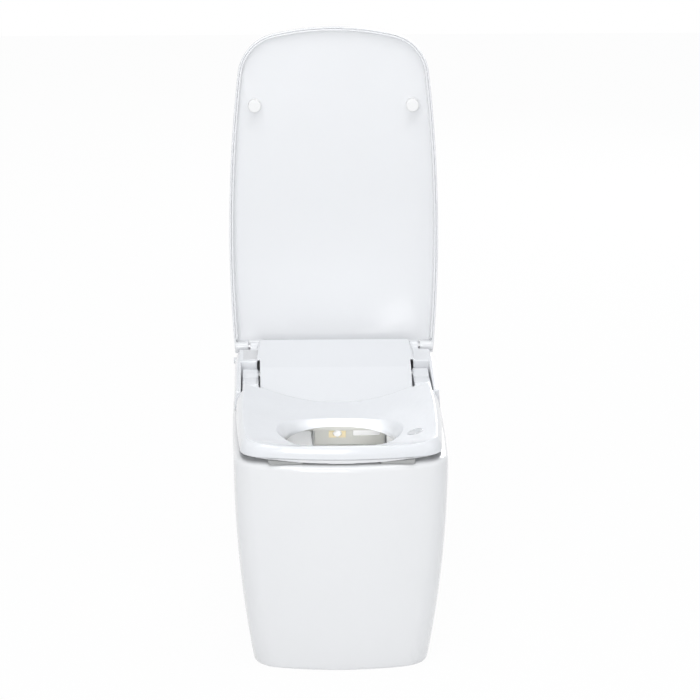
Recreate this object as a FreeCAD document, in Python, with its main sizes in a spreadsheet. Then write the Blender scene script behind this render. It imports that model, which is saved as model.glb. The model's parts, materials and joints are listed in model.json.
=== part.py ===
import FreeCAD, Part
import math
import os
import Sketcher
from FreeCAD import Placement, Rotation, Vector

# A floor-standing smart toilet with a heated seat, in millimetres.
# The origin is the centre of the floor outlet, at the floor. +X is to the right
# as seen from the front, the front faces -Y, and +Z is up. The lid is drawn open.

doc = FreeCAD.newDocument("SmartToilet")
sheet = doc.addObject("Spreadsheet::Sheet", "Sizes")

DRIVING = [
    # The two hinge lines and the ceramic body.
    ("lid_axis_y", 225, "lid hinge line behind the outlet"),
    ("lid_axis_z", 460, "lid hinge line above the floor"),
    ("back_depth", 62, "rear face behind the lid hinge line"),
    ("front_reach", 630, "rim front ahead of the lid hinge line"),
    ("body_half", 200, "half the width of the ceramic body"),
    ("foot_half", 164, "half the width of the foot"),
    ("foot_setback", 43, "foot front behind the rim front"),
    ("rim_z", 408, "top of the ceramic rim"),
    ("rim_round", 10, "rounding along the rim"),
    ("front_arc", 450, "radius of the front in plan"),
    ("body_corner", 60, "front corner radius in plan"),
    ("body_rear_corner", 16, "rear corner radius in plan"),
    ("side_arc", 9000, "radius of the body's sides in plan"),
    ("ceramic_wall", 12, "wall of the skirt and deck"),
    ("bowl_wall", 10, "wall of the bowl"),
    ("bowl_mouth_half", 130, "half width of the bowl mouth"),
    ("bowl_mouth_reach", 184, "half length of the bowl mouth"),
    ("bowl_centre", 406, "bowl mouth centre ahead of the hinge line"),
    ("sump_half", 38, "half width of the bowl at its sump"),
    ("sump_z", 104, "bottom of the sump"),
    ("trap_bore", 28, "inside radius of the trapway"),
    ("trap_wall", 10, "wall of the trapway"),
    ("trap_weir_z", 222, "centre of the trapway over its weir"),
    ("trap_bend", 44, "bend radius of the trapway"),
    ("bay_half", 130, "half width of the rear opening"),
    ("bay_top", 350, "top of the rear opening"),
    # Outlet and floor fixings.
    ("outlet_bore", 55.5, "soil pipe socket radius"),
    ("outlet_socket", 45, "depth of the soil pipe socket"),
    ("outlet_rise", 80, "height of the outlet adapter"),
    ("outlet_wall", 4, "wall of the outlet adapter"),
    ("socket_gap", 0.5, "gap round the trapway in the adapter"),
    ("seal_height", 6, "height of the outlet seal"),
    ("bracket_x", 120, "floor bracket hole from the middle"),
    ("bracket_y", 130, "floor brackets behind the outlet"),
    ("bracket_width", 44, "width of a floor bracket"),
    ("bracket_plate", 4, "thickness of a floor bracket"),
    ("bracket_height", 52, "height of a floor bracket"),
    ("anchor_hole", 4.5, "floor anchor hole radius"),
    ("side_screw_z", 32, "height of the side screws"),
    ("side_screw", 3, "radius of the side screws"),
    ("screw_cap", 9, "radius of the side screw caps"),
    # Seat.
    ("seat_half", 192.5, "half the width of the seat"),
    ("seat_reach", 622, "seat front ahead of the lid hinge line"),
    ("seat_arc", 612, "radius of the seat front in plan"),
    ("seat_side_arc", 3600, "radius of the seat sides in plan"),
    ("seat_corner", 46, "corner radius of the seat"),
    ("seat_belly", 330, "widest place of the seat ahead of the hinge line"),
    ("seat_back", 270, "rear of the seat sides ahead of the hinge line"),
    ("seat_edge_z", 419, "lower edge of the seat's upper shell"),
    ("seat_base_z", 411, "underside of the seat base at the middle"),
    ("base_arch", 1900, "radius of the arched underside of the base"),
    ("base_inset", 3, "step from the upper shell to the base"),
    ("tub_z", 398, "underside of the seat inside the bowl mouth"),
    ("tub_half", 118, "half width of the part that dips into the bowl"),
    ("tub_reach", 172, "half length of the part that dips into the bowl"),
    ("seat_skin", 3.5, "wall of the seat shells"),
    ("seat_bevel", 13, "width of the sloping band outside the ridge"),
    ("seat_bevel_drop", 20, "drop of that band from the ridge"),
    ("dish_z", 414, "lowest line of the dished seat"),
    ("dish_side_rise", 35, "rise from that line to the side ridge"),
    ("dish_front_rise", 30, "rise from that line to the front ridge"),
    ("dish_front_run", 150, "length of the front rise"),
    ("dish_front_power", 1.5, "how soon the front rise begins"),
    ("dish_rear_rise", 4, "rise from the opening to the rear edge"),
    ("hole_half", 101, "half width of the seat opening"),
    ("hole_reach", 108, "half length of the seat opening"),
    ("hole_centre", 454, "seat opening centre ahead of the hinge line"),
    ("hole_flare", 12, "widening of the opening's rolled edge"),
    ("heater_sheet", 0.8, "thickness of the heating element"),
    ("disc_x", 138, "touch disc from the middle"),
    ("disc_reach", 499, "touch disc ahead of the hinge line"),
    ("disc_radius", 15, "radius of the touch disc"),
    ("disc_sheet", 1.2, "thickness of the touch disc"),
    # Seat hinge.
    ("seat_axis_back", 105, "seat hinge line ahead of the lid hinge line"),
    ("seat_axis_z", 431, "seat hinge line above the floor"),
    ("arm_inner", 150, "inner face of a seat arm"),
    ("arm_outer", 181, "outer face of a seat arm"),
    ("arm_boss", 12, "radius of a seat arm's end"),
    ("seat_pin", 6, "radius of the seat hinge pins"),
    ("running_gap", 0.05, "gap round a turning pin"),
    # Lid.
    ("lid_half", 205, "half the width of the lid"),
    ("lid_belly", 220, "widest place of the lid from its hinge line"),
    ("lid_reach", 634, "lid front from its hinge line"),
    ("lid_side_arc", 2850, "radius of the lid sides in plan"),
    ("lid_arc", 520, "radius of the lid front in plan"),
    ("lid_corner", 90, "front corner radius of the lid"),
    ("lid_rim_drop", 7, "lid rim below the hinge line when closed"),
    ("lid_barrel", 25, "radius of the lid's rear edge"),
    ("lid_rear", 14, "lid behind its hinge line when closed"),
    ("lid_front_top", 11, "lid top over the hinge line at the front"),
    ("lid_skin", 4, "wall of the lid shell"),
    ("lid_border", 4, "wall of the lining's border"),
    ("lid_lining", 2.5, "wall of the lid lining"),
    ("lid_round", 7, "rounding along the lid"),
    ("lid_open", 94, "turn of the lid from closed to open"),
    ("ear_radius", 9, "radius of the lid ears"),
    ("ear_inner", 169, "inner face of a lid ear"),
    ("lid_pin", 5, "radius of the lid hinge pins"),
    ("hinge_room", 16, "radius of the room round the hinge in the lining"),
    ("lid_pin_inner", 151, "inner end of a lid hinge pin"),
    ("lid_pad_x", 154, "lid bumper from the middle"),
    ("lid_pad_reach", 480, "lid bumper from the hinge line"),
    ("lid_pad", 12.5, "radius of the lid bumpers"),
    ("lid_pad_gap", 0.5, "gap under a lid bumper when closed"),
    # Housing.
    ("deck_rear_z", 476, "housing deck at its rear edge"),
    ("deck_front_z", 452, "housing deck at its front edge"),
    ("deck_rear", 5, "deck rear edge ahead of the hinge line"),
    ("deck_front", 122, "deck front edge ahead of the hinge line"),
    ("panel_reach", 241, "housing front ahead of the hinge line"),
    ("panel_front_z", 417, "housing front edge above the floor"),
    ("panel_arc", 400, "radius of the housing front in plan"),
    ("core_half", 147, "half width of the housing between the arms"),
    ("shelf_z", 433, "housing shelf behind the lid"),
    ("block_front", 89, "hinge block front ahead of the hinge line"),
    ("block_rear", 14, "hinge block rear ahead of the hinge line"),
    ("block_z", 455.2, "top of the hinge blocks at their front"),
    ("block_rear_z", 458, "top of the hinge blocks at their rear"),
    ("block_inset", 11, "shoulder inside the lid at its top"),
    ("boss_outer", 166, "outer end of a hinge boss"),
    ("boss_radius", 9, "radius of a hinge boss"),
    ("deck_lean", 8, "widening of the deck's sides down to the hinge blocks"),
    ("cheek_inner", 183.5, "inner face of a cheek"),
    ("cheek_outer", 197, "outer face of a cheek at its foot"),
    ("cheek_top_half", 193, "outer face of a cheek at its top"),
    ("cheek_front_z", 447, "top of a cheek at its front"),
    ("cover_wall", 3, "wall of the housing cover"),
    ("cover_gap", 1, "gap between the cover and the ceramic"),
    ("tray_sheet", 3, "thickness of the base tray"),
    ("tray_gap", 0.3, "gap between the tray and the cover"),
    ("window_x", 163.5, "status window from the middle"),
    ("window_y", 49, "status window ahead of the hinge line"),
    ("window_width", 33, "width of the status window"),
    ("window_depth", 62, "depth of the status window"),
    ("window_sheet", 1.2, "thickness of the status window"),
    # Nozzle and dryer.
    ("port_reach", 262, "nozzle port ahead of the hinge line"),
    ("port_z", 361, "nozzle port above the floor"),
    ("nozzle_tilt", 30, "slope of the nozzle"),
    ("nozzle_radius", 7, "radius of the nozzle tube"),
    ("nozzle_tip", 8, "radius of the nozzle tip"),
    ("tip_length", 22, "length of the nozzle tip"),
    ("nozzle_length", 104, "length of the nozzle tube"),
    ("nozzle_gap", 0.3, "gap round the nozzle"),
    ("guide_half", 16.5, "half width of the nozzle guide"),
    ("guide_length", 118, "length of the nozzle guide"),
    ("gear_module", 1, "module of the rack and pinion"),
    ("pinion_teeth", 14, "teeth of the pinion"),
    ("pinion_along", 28, "pinion up the slope from the port"),
    ("gear_face", 4, "face width of the rack and pinion"),
    ("motor_radius", 13, "radius of the nozzle motor"),
    ("motor_length", 19, "length of the nozzle motor"),
    ("trough_left", 44, "nozzle trough to the left of the middle"),
    ("trough_right", 90, "nozzle trough to the right of the middle"),
    ("trough_below", 34, "nozzle trough below the nozzle"),
    ("trough_above", 13, "nozzle trough above the nozzle"),
    ("trough_length", 122, "length of the nozzle trough"),
    ("trough_wall", 2.5, "wall of the nozzle trough"),
    ("trough_gap", 3, "gap between the trough and the ceramic"),
    ("lip_half", 74, "half width of the lip over the nozzle port"),
    ("lip_height", 12, "height of that lip"),
    ("flap_x", 56, "dryer flap from the middle"),
    ("flap_width", 50, "width of the dryer flap"),
    ("flap_height", 16, "height of the dryer flap"),
    ("flap_sheet", 2, "thickness of the dryer flap"),
    ("flap_gap", 0.6, "gap round the dryer flap"),
    ("flap_pin", 0.8, "radius of the dryer flap's pin"),
    ("duct_wall", 2, "wall of the dryer duct"),
    # Pieces inside the housing.
    ("blower_x", 100, "blower from the middle"),
    ("blower_y", 60, "blower ahead of the hinge line"),
    ("blower_radius", 38, "radius of the blower case"),
    ("blower_height", 30, "height of the blower case"),
    ("impeller_radius", 31, "radius of the blower wheel"),
    ("impeller_height", 20, "height of the blower wheel"),
    ("fan_shaft", 3, "radius of the blower shaft"),
    ("impeller_blades", 18, "blades of the blower wheel"),
    ("heater_length", 92, "length of the water heater"),
    ("heater_depth", 62, "depth of the water heater"),
    ("heater_height", 32, "height of the water heater"),
    ("heater_x", 70, "water heater from the middle"),
    ("board_length", 190, "length of the control box"),
    ("board_depth", 42, "depth of the control box"),
    ("board_height", 15, "height of the control box"),
    ("damper_radius", 8, "radius of the seat and lid dampers"),
    ("damper_length", 26, "length of the seat dampers"),
    ("filter_size", 34, "side of the odour filter"),
    ("hose_x", 118, "supply hose left of the middle under the housing"),
    ("hose_y", 35, "supply hose ahead of the hinge line there"),
    ("hose_level", 370, "height at which the supply hose runs forward"),
    # Water supply and the rear bay.
    ("plate_y", 10, "equipment plate behind the hinge line"),
    ("plate_sheet", 3, "thickness of the equipment plate"),
    ("plate_half", 120, "half width of the equipment plate"),
    ("plate_bottom", 150, "lower edge of the equipment plate"),
    ("tank_length", 150, "length of the flush tank"),
    ("tank_depth", 110, "depth of the flush tank"),
    ("tank_height", 165, "height of the flush tank"),
    ("tank_wall", 3, "wall of the flush tank"),
    ("pump_radius", 34, "radius of the flush pump"),
    ("pump_length", 90, "length of the flush pump"),
    ("valve_x", 88, "inlet valve left of the middle"),
    ("valve_z", 250, "inlet valve above the floor"),
    ("valve_side", 34, "side of the inlet valve body"),
    ("spud_radius", 10.48, "outside radius of the inlet thread"),
    ("spud_bore", 6.5, "bore of the inlet spud"),
    ("spud_length", 14, "length of the inlet thread"),
    ("hose_radius", 7, "radius of the flush hose"),
    ("gland_x", 120, "cord gland right of the middle"),
    ("gland_z", 422, "cord gland above the floor"),
    ("gland_bore", 3.6, "radius of the cord gland's bore"),
    ("gland_radius", 7, "radius of the cord gland"),
    ("gland_length", 14, "length of the cord gland"),
    ("button_z", 421, "flush button above the floor"),
    ("button_back", 38, "flush button behind the hinge line"),
    ("button_radius", 6, "radius of the flush button"),
    ("button_stand", 3, "flush button out of the cheek"),
    ("service_screw_head", 3.8, "radius of the small screw heads"),
]

for row, (alias, value, note) in enumerate(DRIVING, start=1):
    sheet.set("A%d" % row, note)
    sheet.set("B%d" % row, str(value))
    sheet.setAlias("B%d" % row, alias)
doc.recompute()


class Dim:
    """A length that keeps its value and the expression on the sheet that gives it."""

    def __init__(self, value, text):
        self.value = float(value)
        self.text = text

    def __float__(self):
        return self.value

    def __add__(self, other):
        other = dim(other)
        return Dim(self.value + other.value, "(%s + %s)" % (self.text, other.text))

    def __sub__(self, other):
        other = dim(other)
        return Dim(self.value - other.value, "(%s - %s)" % (self.text, other.text))

    def __mul__(self, other):
        other = dim(other)
        return Dim(self.value * other.value, "(%s * %s)" % (self.text, other.text))

    def __truediv__(self, other):
        other = dim(other)
        return Dim(self.value / other.value, "(%s / %s)" % (self.text, other.text))

    def __radd__(self, other):
        return dim(other) + self

    def __rsub__(self, other):
        return dim(other) - self

    def __rmul__(self, other):
        return dim(other) * self

    def __neg__(self):
        return dim(0) - self


def dim(number):
    """A plain number as a length, so it can stand in a formula."""
    if isinstance(number, Dim):
        return number
    return Dim(number, repr(float(number)))


class Sizes:
    """Reads the driving dimensions from the sheet by name."""

    def __getattr__(self, alias):
        return Dim(sheet.get(alias), "Sizes.%s" % alias)


s = Sizes()
NODES = {}
EPS = 0.01
OVER = 5.0

lid_y = s.lid_axis_y
lid_z = s.lid_axis_z
seat_y = s.lid_axis_y - s.seat_axis_back
seat_z = s.seat_axis_z
back_y = s.lid_axis_y + s.back_depth
tray_z = s.rim_z + s.cover_gap
floor_z = tray_z + s.tray_sheet


def bind(piece, **links):
    """Ties properties to the sheet; x, y and z stand for the piece's place."""
    for name, length in links.items():
        path = "Placement.Base." + name if name in "xyz" else name
        piece.setExpression(path, dim(length).text)
    return piece


def node(piece, label):
    """Names a finished sub-part."""
    piece.Label = label
    NODES[label] = piece
    return piece


def helper(kind, name):
    return doc.addObject(kind, name)


def box(name, x, y, z, length, width, height):
    """A block from its lowest corner."""
    piece = helper("Part::Box", name)
    return bind(piece, Length=length, Width=width, Height=height, x=x, y=y, z=z)


AXES = {
    "X": Rotation(Vector(0, 1, 0), 90),
    "-X": Rotation(Vector(0, 1, 0), -90),
    "Y": Rotation(Vector(1, 0, 0), -90),
    "Z": Rotation(),
}


def rod(name, axis, x, y, z, radius, length):
    """A cylinder along a row axis, from the centre of its first end."""
    piece = helper("Part::Cylinder", name)
    piece.Placement = Placement(Vector(), AXES[axis])
    return bind(piece, Radius=radius, Height=length, x=x, y=y, z=z)


def cut(name, base, *tools):
    """The base less every tool, one after the other."""
    for count, tool in enumerate(tools):
        step = helper("Part::Cut", "%s_cut%d" % (name, count))
        step.Base = base
        step.Tool = tool
        base = step
    return base


def fuse(name, *pieces):
    """Several shapes joined, or kept as one group where they lie apart."""
    joined = helper("Part::MultiFuse", name + "_union")
    joined.Shapes = list(pieces)
    joined.Refine = True
    return joined


def mirrored(name, piece):
    """The same shape on the other side of the middle plane."""
    twin = helper("Part::Mirroring", name + "_twin")
    twin.Source = piece
    twin.Normal = Vector(1, 0, 0)
    return twin


def pair(name, piece):
    """A left and a right copy as one group."""
    return fuse(name, piece, mirrored(name, piece))


def solid_node(label, shape, placement=None):
    """A sub-part whose free-form shape is worked out from the sizes on the sheet."""
    piece = helper("Part::Feature", label)
    piece.Shape = shape
    if placement is not None:
        piece.Placement = placement
    return node(piece, label)


# ---------------------------------------------------------------- sketched bodies


def new_body(label):
    return helper("PartDesign::Body", label)


def sketch(body, role, name, depth=0):
    """A sketch on one of the body's own planes, moved along that plane's normal."""
    plane = [item for item in body.Origin.OriginFeatures if item.Role == role][0]
    drawing = body.newObject("Sketcher::SketchObject", name)
    drawing.AttachmentSupport = (plane, [""])
    drawing.MapMode = "FlatFace"
    drawing.setExpression("AttachmentOffset.Base.z", dim(depth).text)
    return drawing


def pin_point(drawing, edge, end, across, up):
    """Holds one sketch point at a place that follows the sheet."""
    for kind, length in (("DistanceX", dim(across)), ("DistanceY", dim(up))):
        index = drawing.addConstraint(
            Sketcher.Constraint(kind, -1, 1, edge, end, length.value))
        drawing.setExpression("Constraints[%d]" % index, length.text)


def polygon(drawing, corners):
    """A closed outline through corners given as pairs of lengths."""
    first = drawing.GeometryCount
    count = len(corners)
    places = [Vector(float(a), float(b), 0) for a, b in corners]
    for index in range(count):
        segment = Part.LineSegment(places[index], places[(index + 1) % count])
        drawing.addGeometry(segment, False)
    for index in range(count):
        following = first + (index + 1) % count
        drawing.addConstraint(Sketcher.Constraint("Coincident", first + index, 2, following, 1))
    for index, (across, up) in enumerate(corners):
        pin_point(drawing, first + index, 1, across, up)


def rectangle(drawing, left, low, right, high):
    polygon(drawing, [(left, low), (right, low), (right, high), (left, high)])


def circle(drawing, across, up, radius):
    radius = dim(radius)
    centre = Vector(float(across), float(up), 0)
    edge = drawing.addGeometry(Part.Circle(centre, Vector(0, 0, 1), radius.value), False)
    index = drawing.addConstraint(Sketcher.Constraint("Radius", edge, radius.value))
    drawing.setExpression("Constraints[%d]" % index, radius.text)
    pin_point(drawing, edge, 3, across, up)


def pad(body, drawing, length, reverse=False):
    feature = body.newObject("PartDesign::Pad", drawing.Name + "_pad")
    feature.Profile = drawing
    feature.Reversed = reverse
    feature.setExpression("Length", dim(length).text)
    body.Tip = feature
    return feature


def pocket(body, drawing, length, reverse=False):
    feature = body.newObject("PartDesign::Pocket", drawing.Name + "_pocket")
    feature.Profile = drawing
    feature.Reversed = reverse
    feature.setExpression("Length", dim(length).text)
    body.Tip = feature
    return feature


# ---------------------------------------------------------------- outlines in plan


def circles_meet(ax, ay, ar, bx, by, br):
    """The crossing of two circles that lies further to the front and right."""
    span = math.hypot(bx - ax, by - ay)
    along = (ar * ar - br * br + span * span) / (2 * span)
    off = math.sqrt(max(ar * ar - along * along, 0.0))
    ux, uy = (bx - ax) / span, (by - ay) / span
    options = [(ax + along * ux - off * uy, ay + along * uy + off * ux),
               (ax + along * ux + off * uy, ay + along * uy - off * ux)]
    return max(options, key=lambda place: place[0] - place[1])


def shield(half, front, rear, front_arc, corner, side_arc, belly, rear_corner, z, inset=0.0):
    """A plan outline with a bowed front, round corners and slightly bowed sides.

    front, rear and belly are places along Y, and the front lies at the lowest Y.
    """
    half, front, rear = float(half) - inset, float(front) + inset, float(rear) - inset
    front_arc = float(front_arc) - inset
    side_arc = float(side_arc) - inset
    corner = max(float(corner) - inset, 1.0)
    rear_corner = max(float(rear_corner) - inset, 1.0)
    belly = float(belly)
    side_x = half - side_arc
    front_y = front + front_arc
    cx, cy = circles_meet(side_x, belly, side_arc - corner, 0.0, front_y, front_arc - corner)
    on_front = Vector(cx, cy - front_y, 0).normalize() * front_arc
    front_tan = (on_front.x, front_y + on_front.y)
    on_side = Vector(cx - side_x, cy - belly, 0).normalize() * side_arc
    side_tan = (side_x + on_side.x, belly + on_side.y)
    ry = rear - rear_corner
    rx = side_x + math.sqrt((side_arc - rear_corner) ** 2 - (ry - belly) ** 2)
    on_rear = Vector(rx - side_x, ry - belly, 0).normalize() * side_arc
    rear_tan = (side_x + on_rear.x, belly + on_rear.y)

    def between(centre, radius, start, end):
        """The middle of the arc round a centre from start to end."""
        a = math.atan2(start[1] - centre[1], start[0] - centre[0])
        b = math.atan2(end[1] - centre[1], end[0] - centre[0])
        return (centre[0] + radius * math.cos((a + b) / 2),
                centre[1] + radius * math.sin((a + b) / 2))

    corner_mid = between((cx, cy), corner, front_tan, side_tan)
    side_mid = between((side_x, belly), side_arc, side_tan, rear_tan)
    rear_mid = between((rx, ry), rear_corner, rear_tan, (rx, rear))

    def at(place, sign=1):
        return Vector(sign * place[0], place[1], float(z))

    def arc(start, middle, end):
        return Part.Arc(start, middle, end).toShape()

    edges = [
        arc(at(front_tan, -1), Vector(0, front, float(z)), at(front_tan)),
        arc(at(front_tan), at(corner_mid), at(side_tan)),
        arc(at(side_tan), at(side_mid), at(rear_tan)),
        arc(at(rear_tan), at(rear_mid), at((rx, rear))),
        Part.makeLine(at((rx, rear)), at((rx, rear), -1)),
        arc(at((rx, rear), -1), at(rear_mid, -1), at(rear_tan, -1)),
        arc(at(rear_tan, -1), at(side_mid, -1), at(side_tan, -1)),
        arc(at(side_tan, -1), at(corner_mid, -1), at(front_tan, -1)),
    ]
    return Part.Wire(edges)


def oval(half, reach, centre_y, z):
    """An ellipse in plan; reach is its half length along Y."""
    half, reach = float(half), float(reach)
    centre = Vector(0, float(centre_y), float(z))
    if reach >= half:
        curve = Part.Ellipse(centre + Vector(0, reach, 0), centre + Vector(half, 0, 0), centre)
    else:
        curve = Part.Ellipse(centre + Vector(half, 0, 0), centre + Vector(0, reach, 0), centre)
    return Part.Wire([curve.toShape()])


def raise_wire(wire, height):
    return Part.Face(wire).extrude(Vector(0, 0, float(height)))


def side_profile(points, left, right):
    """A solid between two X planes whose outline in YZ goes through the points.

    An item with three places is an arc's end, given with a place on the arc first.
    """
    edges = []
    here = Vector(float(left), float(points[0][0]), float(points[0][1]))
    first = here
    for item in points[1:]:
        there = Vector(float(left), float(item[-2]), float(item[-1]))
        if len(item) == 4:
            middle = Vector(float(left), float(item[0]), float(item[1]))
            edges.append(Part.Arc(here, middle, there).toShape())
        else:
            edges.append(Part.makeLine(here, there))
        here = there
    edges.append(Part.makeLine(here, first))
    return Part.Face(Part.Wire(edges)).extrude(Vector(float(right) - float(left), 0, 0))


def both_sides(shape):
    twin = shape.mirror(Vector(0, 0, 0), Vector(1, 0, 0))
    return [shape, twin]


def disc_x(left, right, y, z, radius):
    """A cylinder along X between two planes."""
    return Part.makeCylinder(float(radius), float(right) - float(left),
                             Vector(float(left), float(y), float(z)), Vector(1, 0, 0))


# ---------------------------------------------------------------- ceramic body


def body_wire(z, inset=0.0):
    """The skirt's outline at one height: it draws in towards the foot along an arc."""
    low = (1 - float(z) / float(s.rim_z)) ** 2
    half = float(s.body_half) - (float(s.body_half) - float(s.foot_half)) * low
    front = float(lid_y - s.front_reach) + float(s.foot_setback) * low
    belly = float(lid_y) - float(s.front_reach) / 2
    return shield(half, front, back_y, s.front_arc, s.body_corner, s.side_arc, belly,
                  s.body_rear_corner, z, inset)


def skirt(top, inset=0.0, bottom=0.0):
    steps = 5
    levels = [bottom + (top - bottom) * index / (steps - 1) for index in range(steps)]
    return Part.makeLoft([body_wire(z, inset) for z in levels], True, False)


def bowl(extra=0.0):
    """The bowl's hollow, or with extra its outside."""
    mouth_y = float(lid_y - s.bowl_centre)
    top = float(s.rim_z)
    low = float(s.sump_z)
    sump = float(s.sump_half)
    half, reach = float(s.bowl_mouth_half), float(s.bowl_mouth_reach)
    shares = (1.0, 0.86, 0.60, 0.32, 0.0)
    wires = []
    for level in shares:
        swell = math.sin(level * math.pi / 2)
        slide = (1 - level) * s.trap_wall.value * 4
        z = low - extra + (top - low + extra + (EPS if level == 1.0 else 0)) * level
        wires.append(oval(sump + (half - sump) * swell + extra,
                          sump + (reach - sump) * swell + extra, mouth_y - slide, z))
    return Part.makeLoft(wires, True, False)


def trap_route():
    """The trapway: out of the sump, up over the weir and down to the outlet."""
    sump_y = float(lid_y - s.bowl_centre) - float(s.trap_wall) * 4
    low_z = float(s.sump_z + s.trap_bore - 2)
    weir_z = float(s.trap_weir_z)
    return [Vector(0, sump_y, low_z), Vector(0, sump_y + 92, low_z + 6),
            Vector(0, -78, weir_z), Vector(0, 0, weir_z), Vector(0, 0, float(s.outlet_socket))]


def bent_pipe(route, bend, radius, lengthen=0.0):
    """A round bar along straight runs joined by tangent arcs."""
    start = route[0]
    edges = []
    here = start
    for before, corner, after in zip(route, route[1:], route[2:]):
        inward = (before - corner).normalize()
        outward = (after - corner).normalize()
        half_turn = inward.getAngle(outward) / 2
        reach = bend / math.tan(half_turn)
        first = corner + inward * reach
        last = corner + outward * reach
        middle_way = (inward + outward).normalize()
        middle = corner + middle_way * (bend / math.sin(half_turn) - bend)
        edges.append(Part.makeLine(here, first))
        edges.append(Part.Arc(first, middle, last).toShape())
        here = last
    ending = (route[-1] - route[-2]).normalize() * lengthen
    edges.append(Part.makeLine(here, route[-1] + ending))
    heading = (route[1] - route[0]).normalize()
    ring = Part.Wire([Part.makeCircle(radius, start, heading)])
    return Part.Wire(edges).makePipeShell([ring], True, False)


def slope_place(x=0.0, along=0.0, up=0.0):
    """A place in the nozzle's own frame: along goes up the slope and back."""
    tilt = math.radians(float(s.nozzle_tilt))
    y = float(lid_y - s.port_reach) + along * math.cos(tilt) - up * math.sin(tilt)
    z = float(s.port_z) + along * math.sin(tilt) + up * math.cos(tilt)
    return Vector(x, y, z)


def slope_box(left, right, start, end, low, high):
    """A block in the nozzle's own frame."""
    shape = Part.makeBox(float(right) - float(left), float(end) - float(start),
                         float(high) - float(low))
    turn = Rotation(Vector(1, 0, 0), float(s.nozzle_tilt))
    shape.Placement = Placement(slope_place(float(left), float(start), float(low)), turn)
    return shape


def slope_rod(start, end, radius, x=0.0, up=0.0):
    """A cylinder along the nozzle's slope."""
    tilt = math.radians(float(s.nozzle_tilt))
    heading = Vector(0, math.cos(tilt), math.sin(tilt))
    return Part.makeCylinder(float(radius), float(end) - float(start),
                             slope_place(x, float(start), up), heading)


def make_ceramic():
    top = float(s.rim_z)
    wall = float(s.ceramic_wall)
    outside = skirt(top)
    rim_edges = [edge for edge in outside.Edges
                 if all(abs(v.Z - top) < EPS for v in edge.Vertexes)]
    outside = outside.makeFillet(float(s.rim_round), rim_edges)
    inside = skirt(top - wall, wall, -OVER)
    shell = outside.cut(inside)
    bowl_solid = bowl(float(s.bowl_wall)).common(skirt(top - 1.0, wall / 2, 1.0))
    bore, trap_wall = float(s.trap_bore), float(s.trap_wall)
    route = trap_route()
    pipe = bent_pipe(route, float(s.trap_bend), bore + trap_wall)
    way = bent_pipe(route, float(s.trap_bend), bore, OVER)
    body = shell.fuse([bowl_solid, pipe])
    recess = slope_box(-s.trough_left - s.trough_gap, s.trough_right + s.trough_gap, -60,
                       s.trough_length + 8, -s.trough_below - s.trough_gap, 60)
    half = float(s.bay_half)
    opening = Part.makeBox(2 * half, wall * 4, float(s.bay_top) + OVER,
                           Vector(-half, float(back_y) - wall * 2, -OVER))
    hose_way = Part.makeBox(60, 50, wall * 4, Vector(-140, float(lid_y) - 60, top - wall * 2))
    wire_way = Part.makeBox(50, 30, wall * 4, Vector(110, float(lid_y) + 8, top - wall * 2))
    screw_way = Part.makeCylinder(
        float(s.side_screw) + 0.5, 2 * float(s.body_half),
        Vector(-float(s.body_half), float(s.bracket_y), float(s.side_screw_z)), Vector(1, 0, 0))
    body = body.cut([bowl(), way, recess, opening, hose_way, wire_way, screw_way])
    solids = sorted(body.Solids, key=lambda item: item.Volume)
    return solids[-1]


ceramic = make_ceramic()
solid_node("ceramic_body", ceramic)


# ---------------------------------------------------------------- outlet and floor fixings


def make_outlet():
    """A stepped sleeve: soil pipe below, trapway above, a seal at the step."""
    body = new_body("outlet_adapter")
    outer = s.outlet_bore + s.outlet_wall
    pipe_outer = s.trap_bore + s.trap_wall
    lower = sketch(body, "XY_Plane", "outlet_lower")
    circle(lower, 0, 0, outer)
    pad(body, lower, s.outlet_rise)
    socket = sketch(body, "XY_Plane", "outlet_socket_bore")
    circle(socket, 0, 0, s.outlet_bore)
    pocket(body, socket, s.outlet_socket - s.seal_height, reverse=True)
    neck = sketch(body, "XY_Plane", "outlet_neck")
    circle(neck, 0, 0, pipe_outer + s.socket_gap)
    pocket(body, neck, s.outlet_rise, reverse=True)
    node(body, "outlet_adapter")
    ring = new_body("outlet_seal")
    face = sketch(ring, "XY_Plane", "outlet_seal_ring", s.outlet_socket - s.seal_height)
    circle(face, 0, 0, pipe_outer + s.socket_gap)
    circle(face, 0, 0, s.trap_bore)
    pad(ring, face, s.seal_height)
    node(ring, "outlet_seal")


def make_brackets():
    """L brackets that stand inside the skirt and take the floor anchors."""
    inner_wall = float(body_half_at(0)) - float(s.ceramic_wall) - 1.0
    reach = dim(inner_wall)
    left = s.bracket_x - s.bracket_width / 2
    depth = s.bracket_width
    low_y = s.bracket_y - s.bracket_width / 2
    foot = box("bracket_foot", left, low_y, 0, reach - left, depth, s.bracket_plate)
    upright = box("bracket_upright", reach - s.bracket_plate, low_y, 0, s.bracket_plate, depth,
                  s.bracket_height)
    anchor = rod("anchor_hole_tool", "Z", s.bracket_x, s.bracket_y, -OVER, s.anchor_hole,
                 2 * OVER + s.bracket_plate)
    side = rod("side_hole_tool", "X", reach - 2 * OVER, s.bracket_y, s.side_screw_z,
               s.side_screw, 4 * OVER)
    one = cut("bracket", fuse("bracket_blank", foot, upright), anchor, side)
    node(pair("floor_brackets", one), "floor_brackets")


def body_half_at(z):
    """Half the width of the skirt beside the floor brackets at one height."""
    wire = body_wire(float(z))
    face = Part.Face(wire)
    probe = Part.makeLine(Vector(0, float(s.bracket_y), float(z)),
                          Vector(400, float(s.bracket_y), float(z)))
    return max(v.X for v in face.common(probe).Vertexes)


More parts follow.
